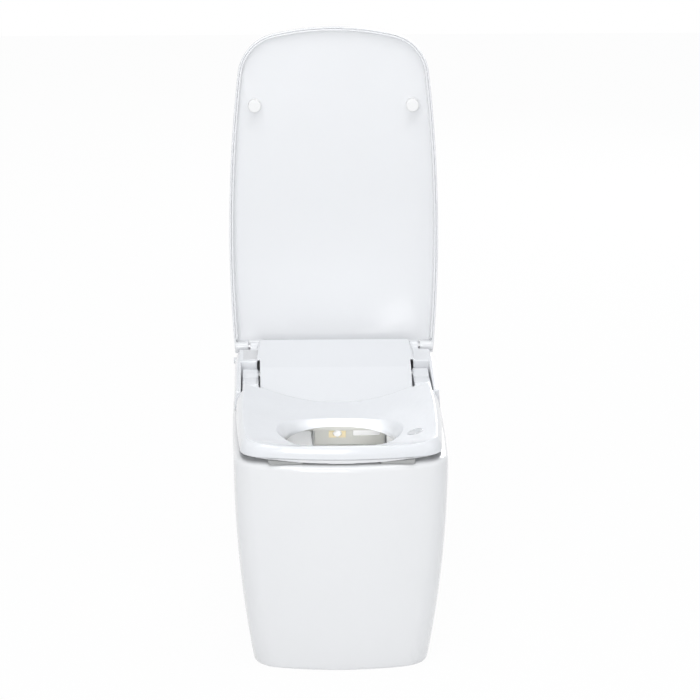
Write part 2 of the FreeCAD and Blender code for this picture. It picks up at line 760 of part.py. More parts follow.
def make_side_screws():
    skin = float(body_half_at(s.side_screw_z))
    wall = float(s.ceramic_wall)
    seat_depth = 6.0
    inner = skin - wall - 12.0
    shank = rod("side_screw_shank", "X", inner, s.bracket_y, s.side_screw_z, s.side_screw,
                skin - inner + 1.5)
    head = rod("side_screw_head_rod", "X", skin + 1.5, s.bracket_y, s.side_screw_z,
               s.side_screw * 1.9, 2.2)
    node(pair("side_screws", fuse("side_screw", shank, head)), "side_screws")
    cap = rod("screw_cap_rod", "X", skin - 2.5, s.bracket_y, s.side_screw_z, s.screw_cap,
              seat_depth + 2.5)
    hollow = rod("screw_cap_hollow", "X", skin - 2.6, s.bracket_y, s.side_screw_z,
                 s.screw_cap - 1.8, seat_depth + 1)
    plug = cut("screw_cap_plug", cut("screw_cap", cap, hollow), doc.getObject("ceramic_body"))
    node(pair("screw_caps", plug), "screw_caps")


make_outlet()
make_brackets()
make_side_screws()


# ---------------------------------------------------------------- seat


def dish_height(x, y):
    """Height of the seat's top: a trough that rises at its sides and its front."""
    side = float(s.dish_side_rise) * (x / (float(s.seat_half) - float(s.seat_bevel))) ** 2
    front_y = float(lid_y - s.seat_reach) + float(s.seat_bevel) / 2
    run = max(front_y + float(s.dish_front_run) - y, 0.0) / float(s.dish_front_run)
    front = float(s.dish_front_rise) * run ** float(s.dish_front_power)
    rear_start = float(lid_y - s.hole_centre + s.hole_reach)
    rear = float(s.dish_rear_rise) * max(y - rear_start, 0.0) / float(s.hole_reach)
    power = 3
    rise = (side ** power + front ** power) ** (1 / power)
    return float(s.dish_z) + rise + rear


def dish_slab(lift, thickness):
    """The space of one thickness that starts at the dish, lifted by an offset."""
    columns, rows = 15, 17
    half = float(s.seat_half) + 20
    y0 = float(lid_y - s.seat_reach) - 20
    y1 = float(lid_y - s.seat_axis_back) + 40
    grid = []
    for i in range(columns):
        x = -half + 2 * half * i / (columns - 1)
        grid.append([Vector(x, y, dish_height(x, y) + lift)
                     for y in (y0 + (y1 - y0) * j / (rows - 1) for j in range(rows))])
    surface = Part.BSplineSurface()
    surface.interpolate(grid)
    return surface.toShape().extrude(Vector(0, 0, thickness))


def seat_outline(z, inset=0.0):
    return shield(s.seat_half, lid_y - s.seat_reach, seat_y, s.seat_arc, s.seat_corner,
                  s.seat_side_arc, lid_y - s.seat_belly, 6, z, inset)


def seat_gap_front(extra):
    """The front of the housing between the arms, pushed forward by a gap."""
    radius = float(s.panel_arc) + extra
    centre_y = float(lid_y - s.panel_reach) + float(s.panel_arc)
    return Part.makeCylinder(radius, 200, Vector(0, centre_y, 330))


def seat_plan(low, high, inset=0.0):
    """The seat's plan between two heights: sides, front and two arms, with its notch."""
    gap = float(s.arm_inner) - float(s.core_half)
    block = raise_wire(seat_outline(low, inset), high - low)
    core = Part.makeBox(2 * float(s.arm_inner), 400, 300,
                        Vector(-float(s.arm_inner), float(lid_y - s.panel_reach) - gap, 300))
    notch = core.common(seat_gap_front(gap + inset))
    rear_y = float(lid_y - s.seat_back) - inset
    tools = [notch]
    for sign in (1, -1):
        left = float(s.arm_outer) - inset if sign > 0 else -float(s.seat_half) - 30
        right = float(s.seat_half) + 30 if sign > 0 else -float(s.arm_outer) + inset
        tools.append(Part.makeBox(right - left, 300, 300, Vector(left, rear_y, 300)))
    arm_root = float(lid_y - s.seat_back) + 45
    for sign in (1, -1):
        left = float(s.arm_inner) - 6 if sign > 0 else -float(s.arm_outer) - 6
        width = float(s.arm_outer) - float(s.arm_inner) + 12
        tools.append(Part.makeBox(width, 300, 300, Vector(left, arm_root, 300)))
    return block.cut(tools)


def funnel(grow=0.0, low=330.0):
    """The seat's opening, with a mouth that widens towards the top."""
    centre_y = float(lid_y - s.hole_centre)
    half, reach = float(s.hole_half) + grow, float(s.hole_reach) + grow
    neck_z = float(s.dish_z) - 8
    wide = float(s.hole_flare)
    straight = raise_wire(oval(half, reach, centre_y, low), neck_z - low + EPS)
    mouth = Part.makeLoft([oval(half, reach, centre_y, neck_z),
                           oval(half + wide * 0.35, reach + wide * 0.35, centre_y, neck_z + 9),
                           oval(half + wide, reach + wide, centre_y, neck_z + 18),
                           oval(half + wide * 2.4, reach + wide * 2.4, centre_y, neck_z + 34)],
                          True, False)
    return straight.fuse(mouth)


def seat_tub(low, high, inset=0.0):
    """The part of the seat that dips into the bowl mouth."""
    centre_y = float(lid_y - s.bowl_centre)
    tub = raise_wire(oval(s.tub_half - inset, s.tub_reach - inset, centre_y, low), high - low)
    return tub.common(seat_plan(low, high, inset))


def bevel_tool():
    """Everything above the sloping band that runs round the outside of the ridge."""
    drop, wide = float(s.seat_bevel_drop), float(s.seat_bevel)
    top = float(s.dish_z) + float(s.dish_side_rise)
    foot = top - drop
    levels = ((foot - 8, -1.2), (foot, 0.0), (foot + drop * 0.45, wide * 0.2),
              (foot + drop * 0.85, wide * 0.62), (foot + drop * 1.25, wide * 1.5))
    hull = Part.makeLoft([seat_outline(z, inset) for z, inset in levels], True, False)
    low = Part.Face(seat_outline(foot - 200, -1.2)).extrude(Vector(0, 0, 192 + EPS))
    return hull.fuse(low)


def arm_solid(inset=0.0):
    """A seat arm: from the seat's rear up to a round boss on the hinge line."""
    ay, az, boss = float(seat_y), float(seat_z), float(s.arm_boss) - inset
    root_y = float(lid_y - s.seat_back) + 40
    low = float(s.seat_edge_z)
    top = dish_height(float(s.arm_outer) - 12, root_y)
    left, right = float(s.arm_inner) + inset, float(s.arm_outer) - inset
    web = side_profile([(root_y, low), (root_y, top - inset), (ay - 48, az + boss - 2.5 - inset / 2),
                        (ay, az + boss), (ay, az - boss), (ay - 22, low)], left, right)
    return web.fuse(disc_x(left, right, ay, az, boss))


def touch_disc_shape(extra=0.0):
    """A thin round plate that lies along the slope of the dish."""
    x, y = float(s.disc_x), float(lid_y - s.disc_reach)
    step = 1.0
    slope_x = (dish_height(x + step, y) - dish_height(x - step, y)) / (2 * step)
    slope_y = (dish_height(x, y + step) - dish_height(x, y - step)) / (2 * step)
    normal = Vector(-slope_x, -slope_y, 1).normalize()
    sunk = Vector(x, y, dish_height(x, y)) - normal * (float(s.disc_sheet) - 0.4)
    plate = Part.makeCylinder(float(s.disc_radius) + extra, float(s.disc_sheet) + extra * 40,
                              sunk, normal)
    return plate


def make_seat():
    edge, skin, tub_low = float(s.seat_edge_z), float(s.seat_skin), float(s.tub_z)
    high = float(s.dish_z) + 70
    over = dish_slab(0.0, 120.0)
    full = seat_plan(edge, high).fuse(seat_tub(tub_low, edge + EPS)).cut(over)
    full = full.common(bevel_tool())
    arms = [shape for one in [arm_solid()] for shape in both_sides(one)]
    full = full.fuse(arms).cut(funnel())
    under = dish_slab(-skin, 160.0)
    hollow = seat_plan(edge - OVER, high, skin).cut(under)
    hollow = hollow.common(bevel_tool().translated(Vector(0, 0, -skin)))
    low_hollow = seat_tub(tub_low - OVER, edge + EPS).cut(dish_slab(-skin, 160.0))
    lip = funnel(skin, tub_low - 2 * OVER)
    hollow = hollow.fuse(low_hollow).cut(lip)
    shell = full.cut(hollow)
    pin_hole = disc_x(-float(s.seat_half), s.seat_half, seat_y, seat_z, s.seat_pin)
    shell = shell.cut([pin_hole, touch_disc_shape(EPS)])
    shell = sorted(shell.Solids, key=lambda item: item.Volume)[-1]
    solid_node("seat_top", shell)
    solid_node("touch_disc", touch_disc_shape())

    inset = float(s.base_inset)
    arch_r = float(s.base_arch)
    arch = Part.makeCylinder(arch_r, 900, Vector(0, 300, float(s.seat_base_z) + arch_r),
                             Vector(0, -1, 0))
    plate = seat_plan(float(s.seat_base_z) - 1, edge, inset).common(arch)
    tub = seat_tub(tub_low, edge, skin)
    base = plate.fuse(tub).cut(seat_tub(tub_low + skin, edge + OVER, 2 * skin))
    base = base.cut([dish_slab(-skin, 160.0), funnel(skin, 330.0)])
    base = sorted(base.Solids, key=lambda item: item.Volume)[-1]
    solid_node("seat_base", base)

    sheet_low = float(s.heater_sheet)
    margin = 22.0
    ring = raise_wire(oval(s.hole_half + 62, s.hole_reach + 44,
                           float(lid_y - s.hole_centre) - 2, 380), 100)
    ring = ring.common(seat_plan(380, 480, margin)).cut(funnel(34.0))
    heater = ring.common(dish_slab(-skin - sheet_low, sheet_low))
    heater = sorted(heater.Solids, key=lambda item: item.Volume)[-1]
    solid_node("seat_heater", heater)


def make_seat_fittings():
    """Front and rear bumpers under the seat, and its two hinge pins."""
    length, width = 64.0, 12.0
    for_y = lid_y - s.seat_reach + 16
    arch_r = float(s.base_arch)
    arch = Part.makeCylinder(arch_r, 900, Vector(0, 300, float(s.seat_base_z) + arch_r),
                             Vector(0, -1, 0))
    pads = []
    for sign in (1, -1):
        for centre, y in ((102.0, float(for_y)), (150.0, float(lid_y) - 330.0)):
            size_x, size_y = (length, width) if centre < 120 else (14.0, 40.0)
            low = Part.makeBox(size_x, size_y, 12, Vector(sign * centre - size_x / 2, y - size_y / 2,
                                                          float(s.rim_z) + 0.2))
            upright = [e for e in low.Edges if abs(e.Vertexes[0].Z - e.Vertexes[-1].Z) > 1]
            low = low.makeFillet(5.0, upright)
            pads.append(low.cut(arch))
    solid_node("seat_bumpers", Part.makeCompound(pads))
    inner = s.core_half - s.cover_wall - s.damper_length + 4
    pin = rod("seat_pin_rod", "X", inner, seat_y, seat_z, s.seat_pin, s.arm_outer - inner - 2)
    node(pair("seat_hinge_pins", pin), "seat_hinge_pins")
    case = rod("seat_damper_case", "X", s.core_half - s.cover_wall - s.damper_length - 0.2, seat_y,
               seat_z, s.damper_radius, s.damper_length)
    way = rod("seat_damper_bore", "X", inner - 0.5, seat_y, seat_z, s.seat_pin + s.running_gap,
              s.damper_length + OVER)
    foot = box("seat_damper_foot", s.core_half - s.cover_wall - s.damper_length, seat_y - 7, floor_z,
               s.damper_length - 4, 14, seat_z - floor_z)
    damper = cut("seat_damper", fuse("seat_damper_blank", case, foot), way)
    node(pair("seat_dampers", damper), "seat_dampers")


make_seat()
make_seat_fittings()


# ---------------------------------------------------------------- lid


def lid_outline(z, inset=0.0, rear_extra=0.0):
    """The closed lid in plan, about the hinge line."""
    front = float(lid_y - s.lid_reach)
    rear = float(lid_y + s.lid_barrel) + rear_extra
    return shield(s.lid_half, front, rear, s.lid_arc, s.lid_corner,
                  s.lid_side_arc, lid_y - s.lid_belly, 3, z, inset)


def lid_hull(inset=0.0):
    """The lid's round-edged block, whose top slopes down from the hinge line to the front."""
    y, top = float(lid_y), float(lid_z + s.lid_barrel) - inset
    slope = float(s.lid_barrel - s.lid_front_top) / float(s.lid_reach)
    low = top - 90.0
    hull = raise_wire(lid_outline(low, inset, 40.0), top - low)
    radius = max(float(s.lid_round) - inset, 1.0)
    hull = hull.makeFillet(radius, [edge for edge in hull.Edges if edge.BoundBox.ZMin > top - EPS])
    hull.rotate(Vector(0, y, top), Vector(1, 0, 0), math.degrees(math.atan(slope)))
    return hull


def lid_section(inset=0.0, low_extra=0.0):
    """Keeps what lies over the rim, and rounds the rear about the hinge line."""
    y, z = float(lid_y), float(lid_z)
    radius = float(s.lid_barrel) - inset
    centre = y + float(s.lid_rear) - float(s.lid_barrel)
    rim = z - float(s.lid_rim_drop) - low_extra
    front_y = y - float(s.lid_reach) - OVER
    high = z + 80
    turn = radius * math.sqrt(0.5)
    reach = 260.0
    return side_profile([(front_y, rim), (front_y, high), (centre, high), (centre, z + radius),
                         (centre + turn, z + turn, centre + radius, z),
                         (centre + radius * 0.8, z - low_extra),
                         (y - 6, rim)], -reach, reach)


def lid_body(inset=0.0, low_extra=0.0):
    return lid_hull(inset).common(lid_section(inset, low_extra))


def open_lid():
    """The turn about the hinge line that takes the closed lid to its open rest."""
    pivot = Vector(0, float(lid_y), float(lid_z))
    turn = Rotation(Vector(1, 0, 0), -float(s.lid_open))
    return Placement(pivot - turn.multVec(pivot), turn)


def make_lid():
    y, z = float(lid_y), float(lid_z)
    skin, border, lining = float(s.lid_skin), float(s.lid_border), float(s.lid_lining)
    outer = lid_body()
    ear_left, ear_right = float(s.ear_inner), float(s.lid_half) - 9
    ear = disc_x(ear_left, ear_right, y, z, s.ear_radius)
    root = side_profile([(y - 7, z), (y - 7, z + 22), (y + 5, z + 18), (y + 9, z)],
                        ear_left, ear_right)
    knuckle = ear.fuse(root).common(outer.fuse(ear))
    hollow = lid_body(skin, OVER)
    shell = outer.cut(hollow).fuse(both_sides(knuckle))
    shell = shell.cut(disc_x(float(s.ear_inner) - 1, float(s.lid_half) - 14, y, z, s.lid_pin))
    shell = shell.cut(disc_x(-float(s.lid_half) + 14, -float(s.ear_inner) + 1, y, z, s.lid_pin))
    shell = sorted(shell.Solids, key=lambda item: item.Volume)[-1]
    solid_node("lid_shell", shell, open_lid())

    inner_cut = lid_body(skin + border, OVER)
    drop = Vector(0, 0, border - lining)
    panel_low = inner_cut.fuse(inner_cut.translated(drop))
    liner = lid_body(skin).cut(panel_low)
    clear = disc_x(-float(s.lid_half), s.lid_half, y, z, s.hinge_room)
    clear = clear.fuse(both_sides(root))
    liner = liner.cut(clear)
    liner = sorted(liner.Solids, key=lambda item: item.Volume)[-1]
    solid_node("lid_lining", liner, open_lid())

    pads = []
    pad_y = y - float(s.lid_pad_reach)
    for sign in (1, -1):
        x = sign * float(s.lid_pad_x)
        pad_edge = x + sign * float(s.lid_pad)
        low = float(s.lid_pad_gap) + max(dish_height(pad_edge, pad_y - float(s.lid_pad)),
                                         dish_height(pad_edge, pad_y + float(s.lid_pad)))
        stem = Part.makeCylinder(float(s.lid_pad), 60, Vector(x, pad_y, low))
        rounded = [edge for edge in stem.Edges if abs(edge.BoundBox.ZMax - low) < EPS]
        stem = stem.makeFillet(2.0, rounded)
        inside = lid_body(skin).cut(liner)
        piece = stem.common(inside.fuse(Part.makeBox(500, 700, 60, Vector(-250, y - 650, z - 67))))
        piece = piece.cut([liner, shell])
        piece = sorted(piece.Solids, key=lambda item: item.BoundBox.ZMin)[0]
        pads.append(piece)
    solid_node("lid_bumpers", Part.makeCompound(pads), open_lid())


def make_lid_fittings():
    """Hinge pins through the ears, and the damper that lets the lid down slowly."""
    pin = rod("lid_pin_rod", "X", s.lid_pin_inner, lid_y, lid_z, s.lid_pin,
              s.lid_half - 14 - s.lid_pin_inner)
    node(pair("lid_hinge_pins", pin), "lid_hinge_pins")


make_lid()
make_lid_fittings()


# ---------------------------------------------------------------- housing


def housing_mass(inset=0.0, low=0.0):
    """The housing's outer form, or with an inset the hollow inside its cover."""
    y, base = float(lid_y), float(tray_z) - low
    rear = float(back_y) - inset
    deck_rear, deck_front = y - float(s.deck_rear) - inset, y - float(s.deck_front)
    panel_y = y - float(s.panel_reach) - OVER
    slope = float(s.deck_front_z - s.panel_front_z) / float(s.panel_reach - s.deck_front)
    half = float(s.core_half) - inset
    shelf = float(s.shelf_z) - inset
    core = side_profile([
        (panel_y, base), (panel_y, float(s.panel_front_z) - slope * OVER - inset),
        (deck_front, float(s.deck_front_z) - inset), (deck_rear, float(s.deck_rear_z) - inset),
        (deck_rear, shelf), (rear, shelf), (rear, base)], -half, half)
    bow = Part.makeCylinder(float(s.panel_arc) - inset, 200,
                            Vector(0, y - float(s.panel_reach) + float(s.panel_arc), base - 20))
    behind = Part.makeBox(2 * half, 400, 200, Vector(-half, y - 150, base - 20))
    core = core.common(bow.fuse(behind))
    shapes = [core]
    lean = float(s.deck_lean)
    flank = side_profile([
        (y - float(s.block_front), float(s.block_z) - 20), (deck_rear, float(s.block_z) - 20),
        (deck_rear, float(s.deck_rear_z) - inset),
        (deck_front, float(s.deck_front_z) - inset), (y - float(s.block_front), base)],
        half - OVER, half + lean + 2)
    roof_low, roof_high = float(s.block_z), float(s.deck_rear_z)
    roof = [Vector(0, 0, roof_low - 30), Vector(half + lean, 0, roof_low - 30),
            Vector(half + lean, 0, roof_low), Vector(half - 1, 0, roof_high),
            Vector(0, 0, roof_high)]
    roof = Part.Face(Part.makePolygon(roof + roof[:1])).extrude(Vector(0, 900, 0))
    roof.translate(Vector(0, y - 450, 0))
    front_cut = Part.makeBox(900, 300, 300, Vector(-450, y - float(s.block_front) - 300, 300))
    flank = flank.common(roof).cut(front_cut)
    block_rear = y - float(s.block_rear) - inset
    wide = float(s.cheek_outer) + 1
    block = side_profile([
        (y - float(s.block_front) + inset, base),
        (y - float(s.block_front) + inset, float(s.block_z) - inset),
        (block_rear, float(s.block_rear_z) - inset), (block_rear, shelf), (rear, shelf),
        (rear, base)], half - OVER, wide)
    front = y - float(s.seat_back) + 2 + inset
    cheek = side_profile([
        (front, base), (front, float(s.cheek_front_z) - inset),
        (y - float(s.block_front) + OVER, float(s.block_z) - inset),
        (y - float(s.block_front) + OVER, base)], float(s.cheek_inner) + inset, wide)
    high_z, low_z = float(s.block_rear_z), float(tray_z)
    cheek_low, cheek_high = float(s.cheek_outer) - inset, float(s.cheek_top_half) - inset
    wedge = [Vector(0, 0, low_z - 20), Vector(cheek_low + 0.6, 0, low_z - 20),
             Vector(cheek_low, 0, low_z), Vector(cheek_high, 0, high_z), Vector(0, 0, high_z)]
    wedge = Part.Face(Part.makePolygon(wedge + wedge[:1])).extrude(Vector(0, 900, 0))
    wedge.translate(Vector(0, y - 450, 0))
    taper = Part.makeLoft([lid_outline(low_z - 20, inset - 14, 60.0),
                           lid_outline(high_z, float(s.block_inset) + inset, 60.0)], True, True)
    for shape in (block, cheek):
        shape = shape.common(wedge).common(taper)
        shapes.extend(both_sides(shape))
    shapes.extend(both_sides(flank))
    return shapes[0].fuse(shapes[1:])


def make_housing():
    y, wall = float(lid_y), float(s.cover_wall)
    mass = housing_mass()
    hollow = housing_mass(wall, OVER)
    boss_out, core = float(s.boss_outer), float(s.core_half)
    boss = disc_x(core - wall, boss_out, y, lid_z, s.boss_radius)
    web_low = float(floor_z + s.tray_gap)
    web = Part.makeBox(boss_out - core + wall, 8, float(lid_z) - web_low,
                       Vector(core - wall, y - 12, web_low))
    inner_web = Part.makeBox(3 * wall, 16, float(lid_z) - web_low,
                             Vector(core - wall, y - 20, web_low))
    hinge = boss.fuse([web, inner_web])
    cover = mass.cut(hollow).fuse(both_sides(hinge))
    lid_bore = disc_x(-200, 200, y, float(lid_z), s.lid_pin + s.running_gap)
    seat_bore = disc_x(-float(s.core_half) - 1, float(s.core_half) + 1, float(seat_y),
                       float(seat_z), s.seat_pin + s.running_gap)
    window = window_shape(0.2)
    button = disc_x(-float(s.cheek_outer) - 5, -float(s.cheek_inner) + 12,
                    y + float(s.button_back), float(s.button_z), s.button_radius + 0.3)
    gland = Part.makeCylinder(float(s.gland_radius), 30,
                              Vector(float(s.gland_x), float(back_y) - 20, float(s.gland_z)),
                              Vector(0, 1, 0))
    cover = cover.cut([lid_bore, seat_bore, window, button, gland])
    cover = sorted(cover.Solids, key=lambda item: item.Volume)[-1]
    solid_node("housing_cover", cover)
    solid_node("status_window", window_shape())


def window_shape(extra=0.0):
    """A thin plate let into the top of the left hinge block."""
    width, depth = float(s.window_width) + 2 * extra, float(s.window_depth) + 2 * extra
    sheet_z = float(s.window_sheet)
    plate = Part.makeBox(width, depth, sheet_z + extra * 20,
                         Vector(-float(s.window_x) - width / 2,
                                float(lid_y - s.window_y) - depth / 2, 0))
    upright = [e for e in plate.Edges if abs(e.Vertexes[0].Z - e.Vertexes[-1].Z) > 0.5]
    plate = plate.makeFillet(2.0, upright)
    rise = float(s.block_rear_z - s.block_z) / float(s.block_front - s.block_rear)
    middle = Vector(0, float(lid_y - s.window_y), 0)
    plate.rotate(middle, Vector(1, 0, 0), math.degrees(math.atan(rise)))
    middle_z = float(s.block_z) + rise * float(s.block_front - s.window_y)
    plate.translate(Vector(0, 0, middle_z - sheet_z + 0.2))
    return plate


def make_tray():
    """The base plate that carries everything in the housing, and the lip over the nozzle."""
    y, sheet_t = float(lid_y), float(s.tray_sheet)
    gap = float(s.cover_wall + s.tray_gap)
    plan = housing_mass(gap, OVER).common(
        Part.makeBox(500, 600, sheet_t, Vector(-250, y - 400, float(tray_z))))
    recess = slope_box(-s.trough_left, s.trough_right, -80, s.trough_length, -80, 60)
    plate = plan.cut(recess)
    solids = sorted(plate.Solids, key=lambda item: item.Volume)
    feet = []
    for x, foot_y in ((-150, y - 20), (150, y - 20), (-150, y + 40), (150, y + 40)):
        feet.append(Part.makeCylinder(7, float(s.cover_gap), Vector(x, foot_y, float(s.rim_z))))
    plate = solids[-1].fuse(feet)
    hose_way = Part.makeCylinder(8, 40, Vector(-float(s.hose_x), y - float(s.hose_y), float(tray_z) - 20))
    wire_way = Part.makeCylinder(7, 40, Vector(135, y + 24, float(tray_z) - 20))
    solid_node("base_tray", plate.cut([hose_way, wire_way]))


# ---------------------------------------------------------------- nozzle and dryer


def rack_slot():
    """The way for the rack under the nozzle, through the trough's front and the collar."""
    half = float(s.gear_face) / 2 + 0.4
    return slope_box(-half, half, -2 * OVER, float(s.trough_wall) + OVER,
                     -float(s.nozzle_radius) - 4.6, 0)


def make_trough():
    """The open box in the ceramic's recess that holds the nozzle and the dryer duct."""
    left, right = -float(s.trough_left), float(s.trough_right)
    low, high, wall = -float(s.trough_below), float(s.trough_above), float(s.trough_wall)
    length = float(s.trough_length)
    outer = slope_box(left, right, 0, length, low, high + 30)
    inner = slope_box(left + wall, right - wall, wall, length + OVER, low + wall, high + 60)
    ceiling = Part.makeBox(600, 600, 200, Vector(-300, -300, float(floor_z)))
    seat_room = Part.makeBox(600, 600, 200, Vector(-300, float(lid_y - s.panel_reach) - 600,
                                                   float(s.tub_z) - 4))
    port = slope_rod(-OVER, wall + OVER, s.nozzle_tip + 0.8)
    gap = float(s.flap_gap)
    flap_low = -float(s.flap_height) / 2
    mouth = slope_box(s.flap_x - s.flap_width / 2 - gap, s.flap_x + s.flap_width / 2 + gap, -OVER,
                      wall + OVER, flap_low - gap, -flap_low + gap)
    cover_front = float(lid_y - s.panel_reach) + 18
    cover_room = Part.makeBox(600, 600, 200, Vector(-300, cover_front - 600, float(s.rim_z)))
    rack_way = rack_slot()
    pin_way = flap_pin(s.flap_pin + s.running_gap, 2.0)
    trough = outer.cut([inner, ceiling, seat_room, cover_room, port, mouth, rack_way])
    y, z = slope_place().y, slope_place().z
    lip_low = z + 6.0
    lip = Part.makeBox(2 * float(s.lip_half), 5, float(s.lip_height),
                       Vector(-float(s.lip_half), y - 8, lip_low))
    arm = Part.makeBox(float(s.trough_right) + float(s.trough_left) - 2, 6, float(s.lip_height) - 4,
                       Vector(left + 1, y - 4, lip_low + 2))
    long_edges = [e for e in lip.Edges if e.Length > 100 and e.BoundBox.YMax < y - 7]
    lip = lip.makeFillet(2.0, long_edges)
    way = slope_box(left + wall, right - wall, wall, length, low + wall, 60)
    trough = trough.fuse([lip, arm]).cut([port, mouth, way, rack_way, pin_way])
    trough = sorted(trough.Solids, key=lambda item: item.Volume)[-1]
    solid_node("nozzle_trough", trough)


def rack_teeth(root, tip, start, count, half):
    """Rack teeth that point down, as a flat-flanked strip."""
    pitch = math.pi * float(s.gear_module)
    teeth = []
    for index in range(count):
        middle = start + pitch * index
        wide, narrow = pitch * 0.30, pitch * 0.13
        points = [(middle - wide, root), (middle - narrow, tip), (middle + narrow, tip),
                  (middle + wide, root)]
        wire = Part.makePolygon([Vector(-half, a, b) for a, b in points + points[:1]])
        teeth.append(Part.Face(wire).extrude(Vector(2 * half, 0, 0)))
    return teeth


def make_nozzle():
    radius, tip_r = float(s.nozzle_radius), float(s.nozzle_tip)
    tip_len, length = float(s.tip_length), float(s.nozzle_length)
    gap = float(s.nozzle_gap)
    half_face = float(s.gear_face) / 2
    tip = slope_rod(-5, tip_len - 5, tip_r)
    front = min(tip.Edges, key=lambda e: e.BoundBox.Center.y if e.Closed else 1e6)
    tip = tip.makeFillet(4.5, [front])
    spray = []
    for row in range(3):
        for side in (-1, 1):
            base = slope_place(side * 2.2, 1.5 + row * 3.2, tip_r - 3)
            spray.append(Part.makeCylinder(0.7, 6, base, slope_place(0, 0, 1) - slope_place()))
    tip = tip.cut(spray)
    solid_node("nozzle_tip", tip)
    tube = slope_rod(tip_len - 5, length, radius)
    flat = slope_box(-half_face - 0.2, half_face + 0.2, tip_len - 6, length + 1, -radius - 1,
                     -radius + 1.0)
    solid_node("nozzle_tube", tube.cut(flat))

    module = float(s.gear_module)
    root = -radius - 1.8
    tip_z = root - 2.0
    pitch = math.pi * module
    along = float(s.pinion_along)
    strip = Part.makeBox(2 * half_face, length - tip_len - 1, -root - radius + 1.0,
                         Vector(-half_face, tip_len, root))
    first = along - pitch * math.floor((along - tip_len - 2) / pitch)
    count = int((length - 3 - first) / pitch)
    shape = strip.fuse(rack_teeth(root + EPS, tip_z, first, count, half_face))
    turn = Rotation(Vector(1, 0, 0), float(s.nozzle_tilt))
    solid_node("nozzle_rack", shape, Placement(slope_place(), turn))

    pitch_r = module * float(s.pinion_teeth) / 2
    centre_up = root - 1.2 * module - pitch_r
    blank = Part.makeCylinder(pitch_r - 1.25 * module, 2 * half_face - 0.4,
                              Vector(-half_face + 0.2, 0, 0), Vector(1, 0, 0))
    teeth = []
    turns = int(float(s.pinion_teeth))
    for index in range(turns):
        angle = 2 * math.pi * (index + 0.5) / turns
        tooth = []
        for r, wide in ((pitch_r - 1.4 * module, 0.72 * module), (pitch_r, 0.55 * module),
                        (pitch_r + 0.8 * module, 0.28 * module)):
            tooth.append((r, wide))
        points = [(r, -w) for r, w in tooth] + [(r, w) for r, w in reversed(tooth)]
        wire = Part.makePolygon([
            Vector(-half_face + 0.2, a * math.sin(angle) + b * math.cos(angle),
                   a * math.cos(angle) - b * math.sin(angle)) for a, b in points + points[:1]])
        teeth.append(Part.Face(wire).extrude(Vector(2 * half_face - 0.4, 0, 0)))
    hub = Part.makeCylinder(3.2, 4.0, Vector(-half_face - 3.8, 0, 0), Vector(1, 0, 0))
    motor_x = -float(s.guide_half) - float(s.motor_length)
    spindle_start = motor_x + 8
    spindle = Part.makeCylinder(1.5, half_face + 1 - spindle_start,
                                Vector(spindle_start, 0, 0), Vector(1, 0, 0))
    place = Placement(slope_place(0, along, centre_up), turn)
    solid_node("nozzle_pinion", blank.fuse(teeth + [hub, spindle]), place)

    motor = Part.makeCylinder(float(s.motor_radius), float(s.motor_length),
                              Vector(motor_x, 0, 0), Vector(1, 0, 0))
    bolt_ears = Part.makeBox(1.0, 2 * float(s.motor_radius) + 14, 7,
                             Vector(motor_x + float(s.motor_length) - 1.0,
                                    -float(s.motor_radius) - 7, -3.5))
    socket = Part.makeCylinder(1.5 + 0.05, 40, Vector(motor_x + 6, 0, 0), Vector(1, 0, 0))
    body = motor.fuse(bolt_ears).cut(socket)
    solid_node("nozzle_motor", body, place)

    guide_half = float(s.guide_half)
    low = -float(s.trough_below) + float(s.trough_wall)
    wall = float(s.trough_wall)
    guide = slope_box(-guide_half, guide_half, wall, s.guide_length, -radius - 5.5, radius + 3.0)
    feet = [slope_box(-guide_half, -guide_half + 4, wall, wall + 60, low, -radius - 5.5),
            slope_box(guide_half - 4, guide_half, wall, s.guide_length, low, -radius - 5.5)]
    guide = guide.fuse(feet)
    frame = slope_box(-guide_half, guide_half, -2.5, 0, -tip_r - 3, 6.6)
    ways = [slope_rod(-OVER, tip_len - 4, tip_r + gap), slope_rod(0, s.guide_length + OVER,
                                                                  radius + gap),
            slope_box(-half_face - 0.4, half_face + 0.4, 0, s.guide_length + OVER,
                      -radius - 8, -radius + 1),
            slope_box(-half_face - 5, half_face + 0.6, along - pitch_r - 2.5,
                      along + pitch_r + 2.5, low, -radius - 0.5)]
    shaft_way = Part.makeCylinder(2.2, 30, slope_place(-guide_half - 5, along, centre_up),
                                  Vector(1, 0, 0))
    guide = guide.cut(ways + [shaft_way])
    guide = sorted(guide.Solids, key=lambda item: item.Volume)[-1]
    solid_node("nozzle_guide", guide)
    collar = frame.cut([slope_rod(-OVER, OVER, tip_r + 0.8), rack_slot()])
    solid_node("nozzle_collar", collar)


def flap_pin(radius, stand):
    """The flap's hinge pin, which stands out of the flap's two ends."""
    reach = float(s.flap_width) / 2 + stand
    start = slope_place(float(s.flap_x) - reach, float(s.flap_sheet) / 2,
                        float(s.flap_height) / 2 - 1)
    return Part.makeCylinder(float(radius), 2 * reach, start, Vector(1, 0, 0))


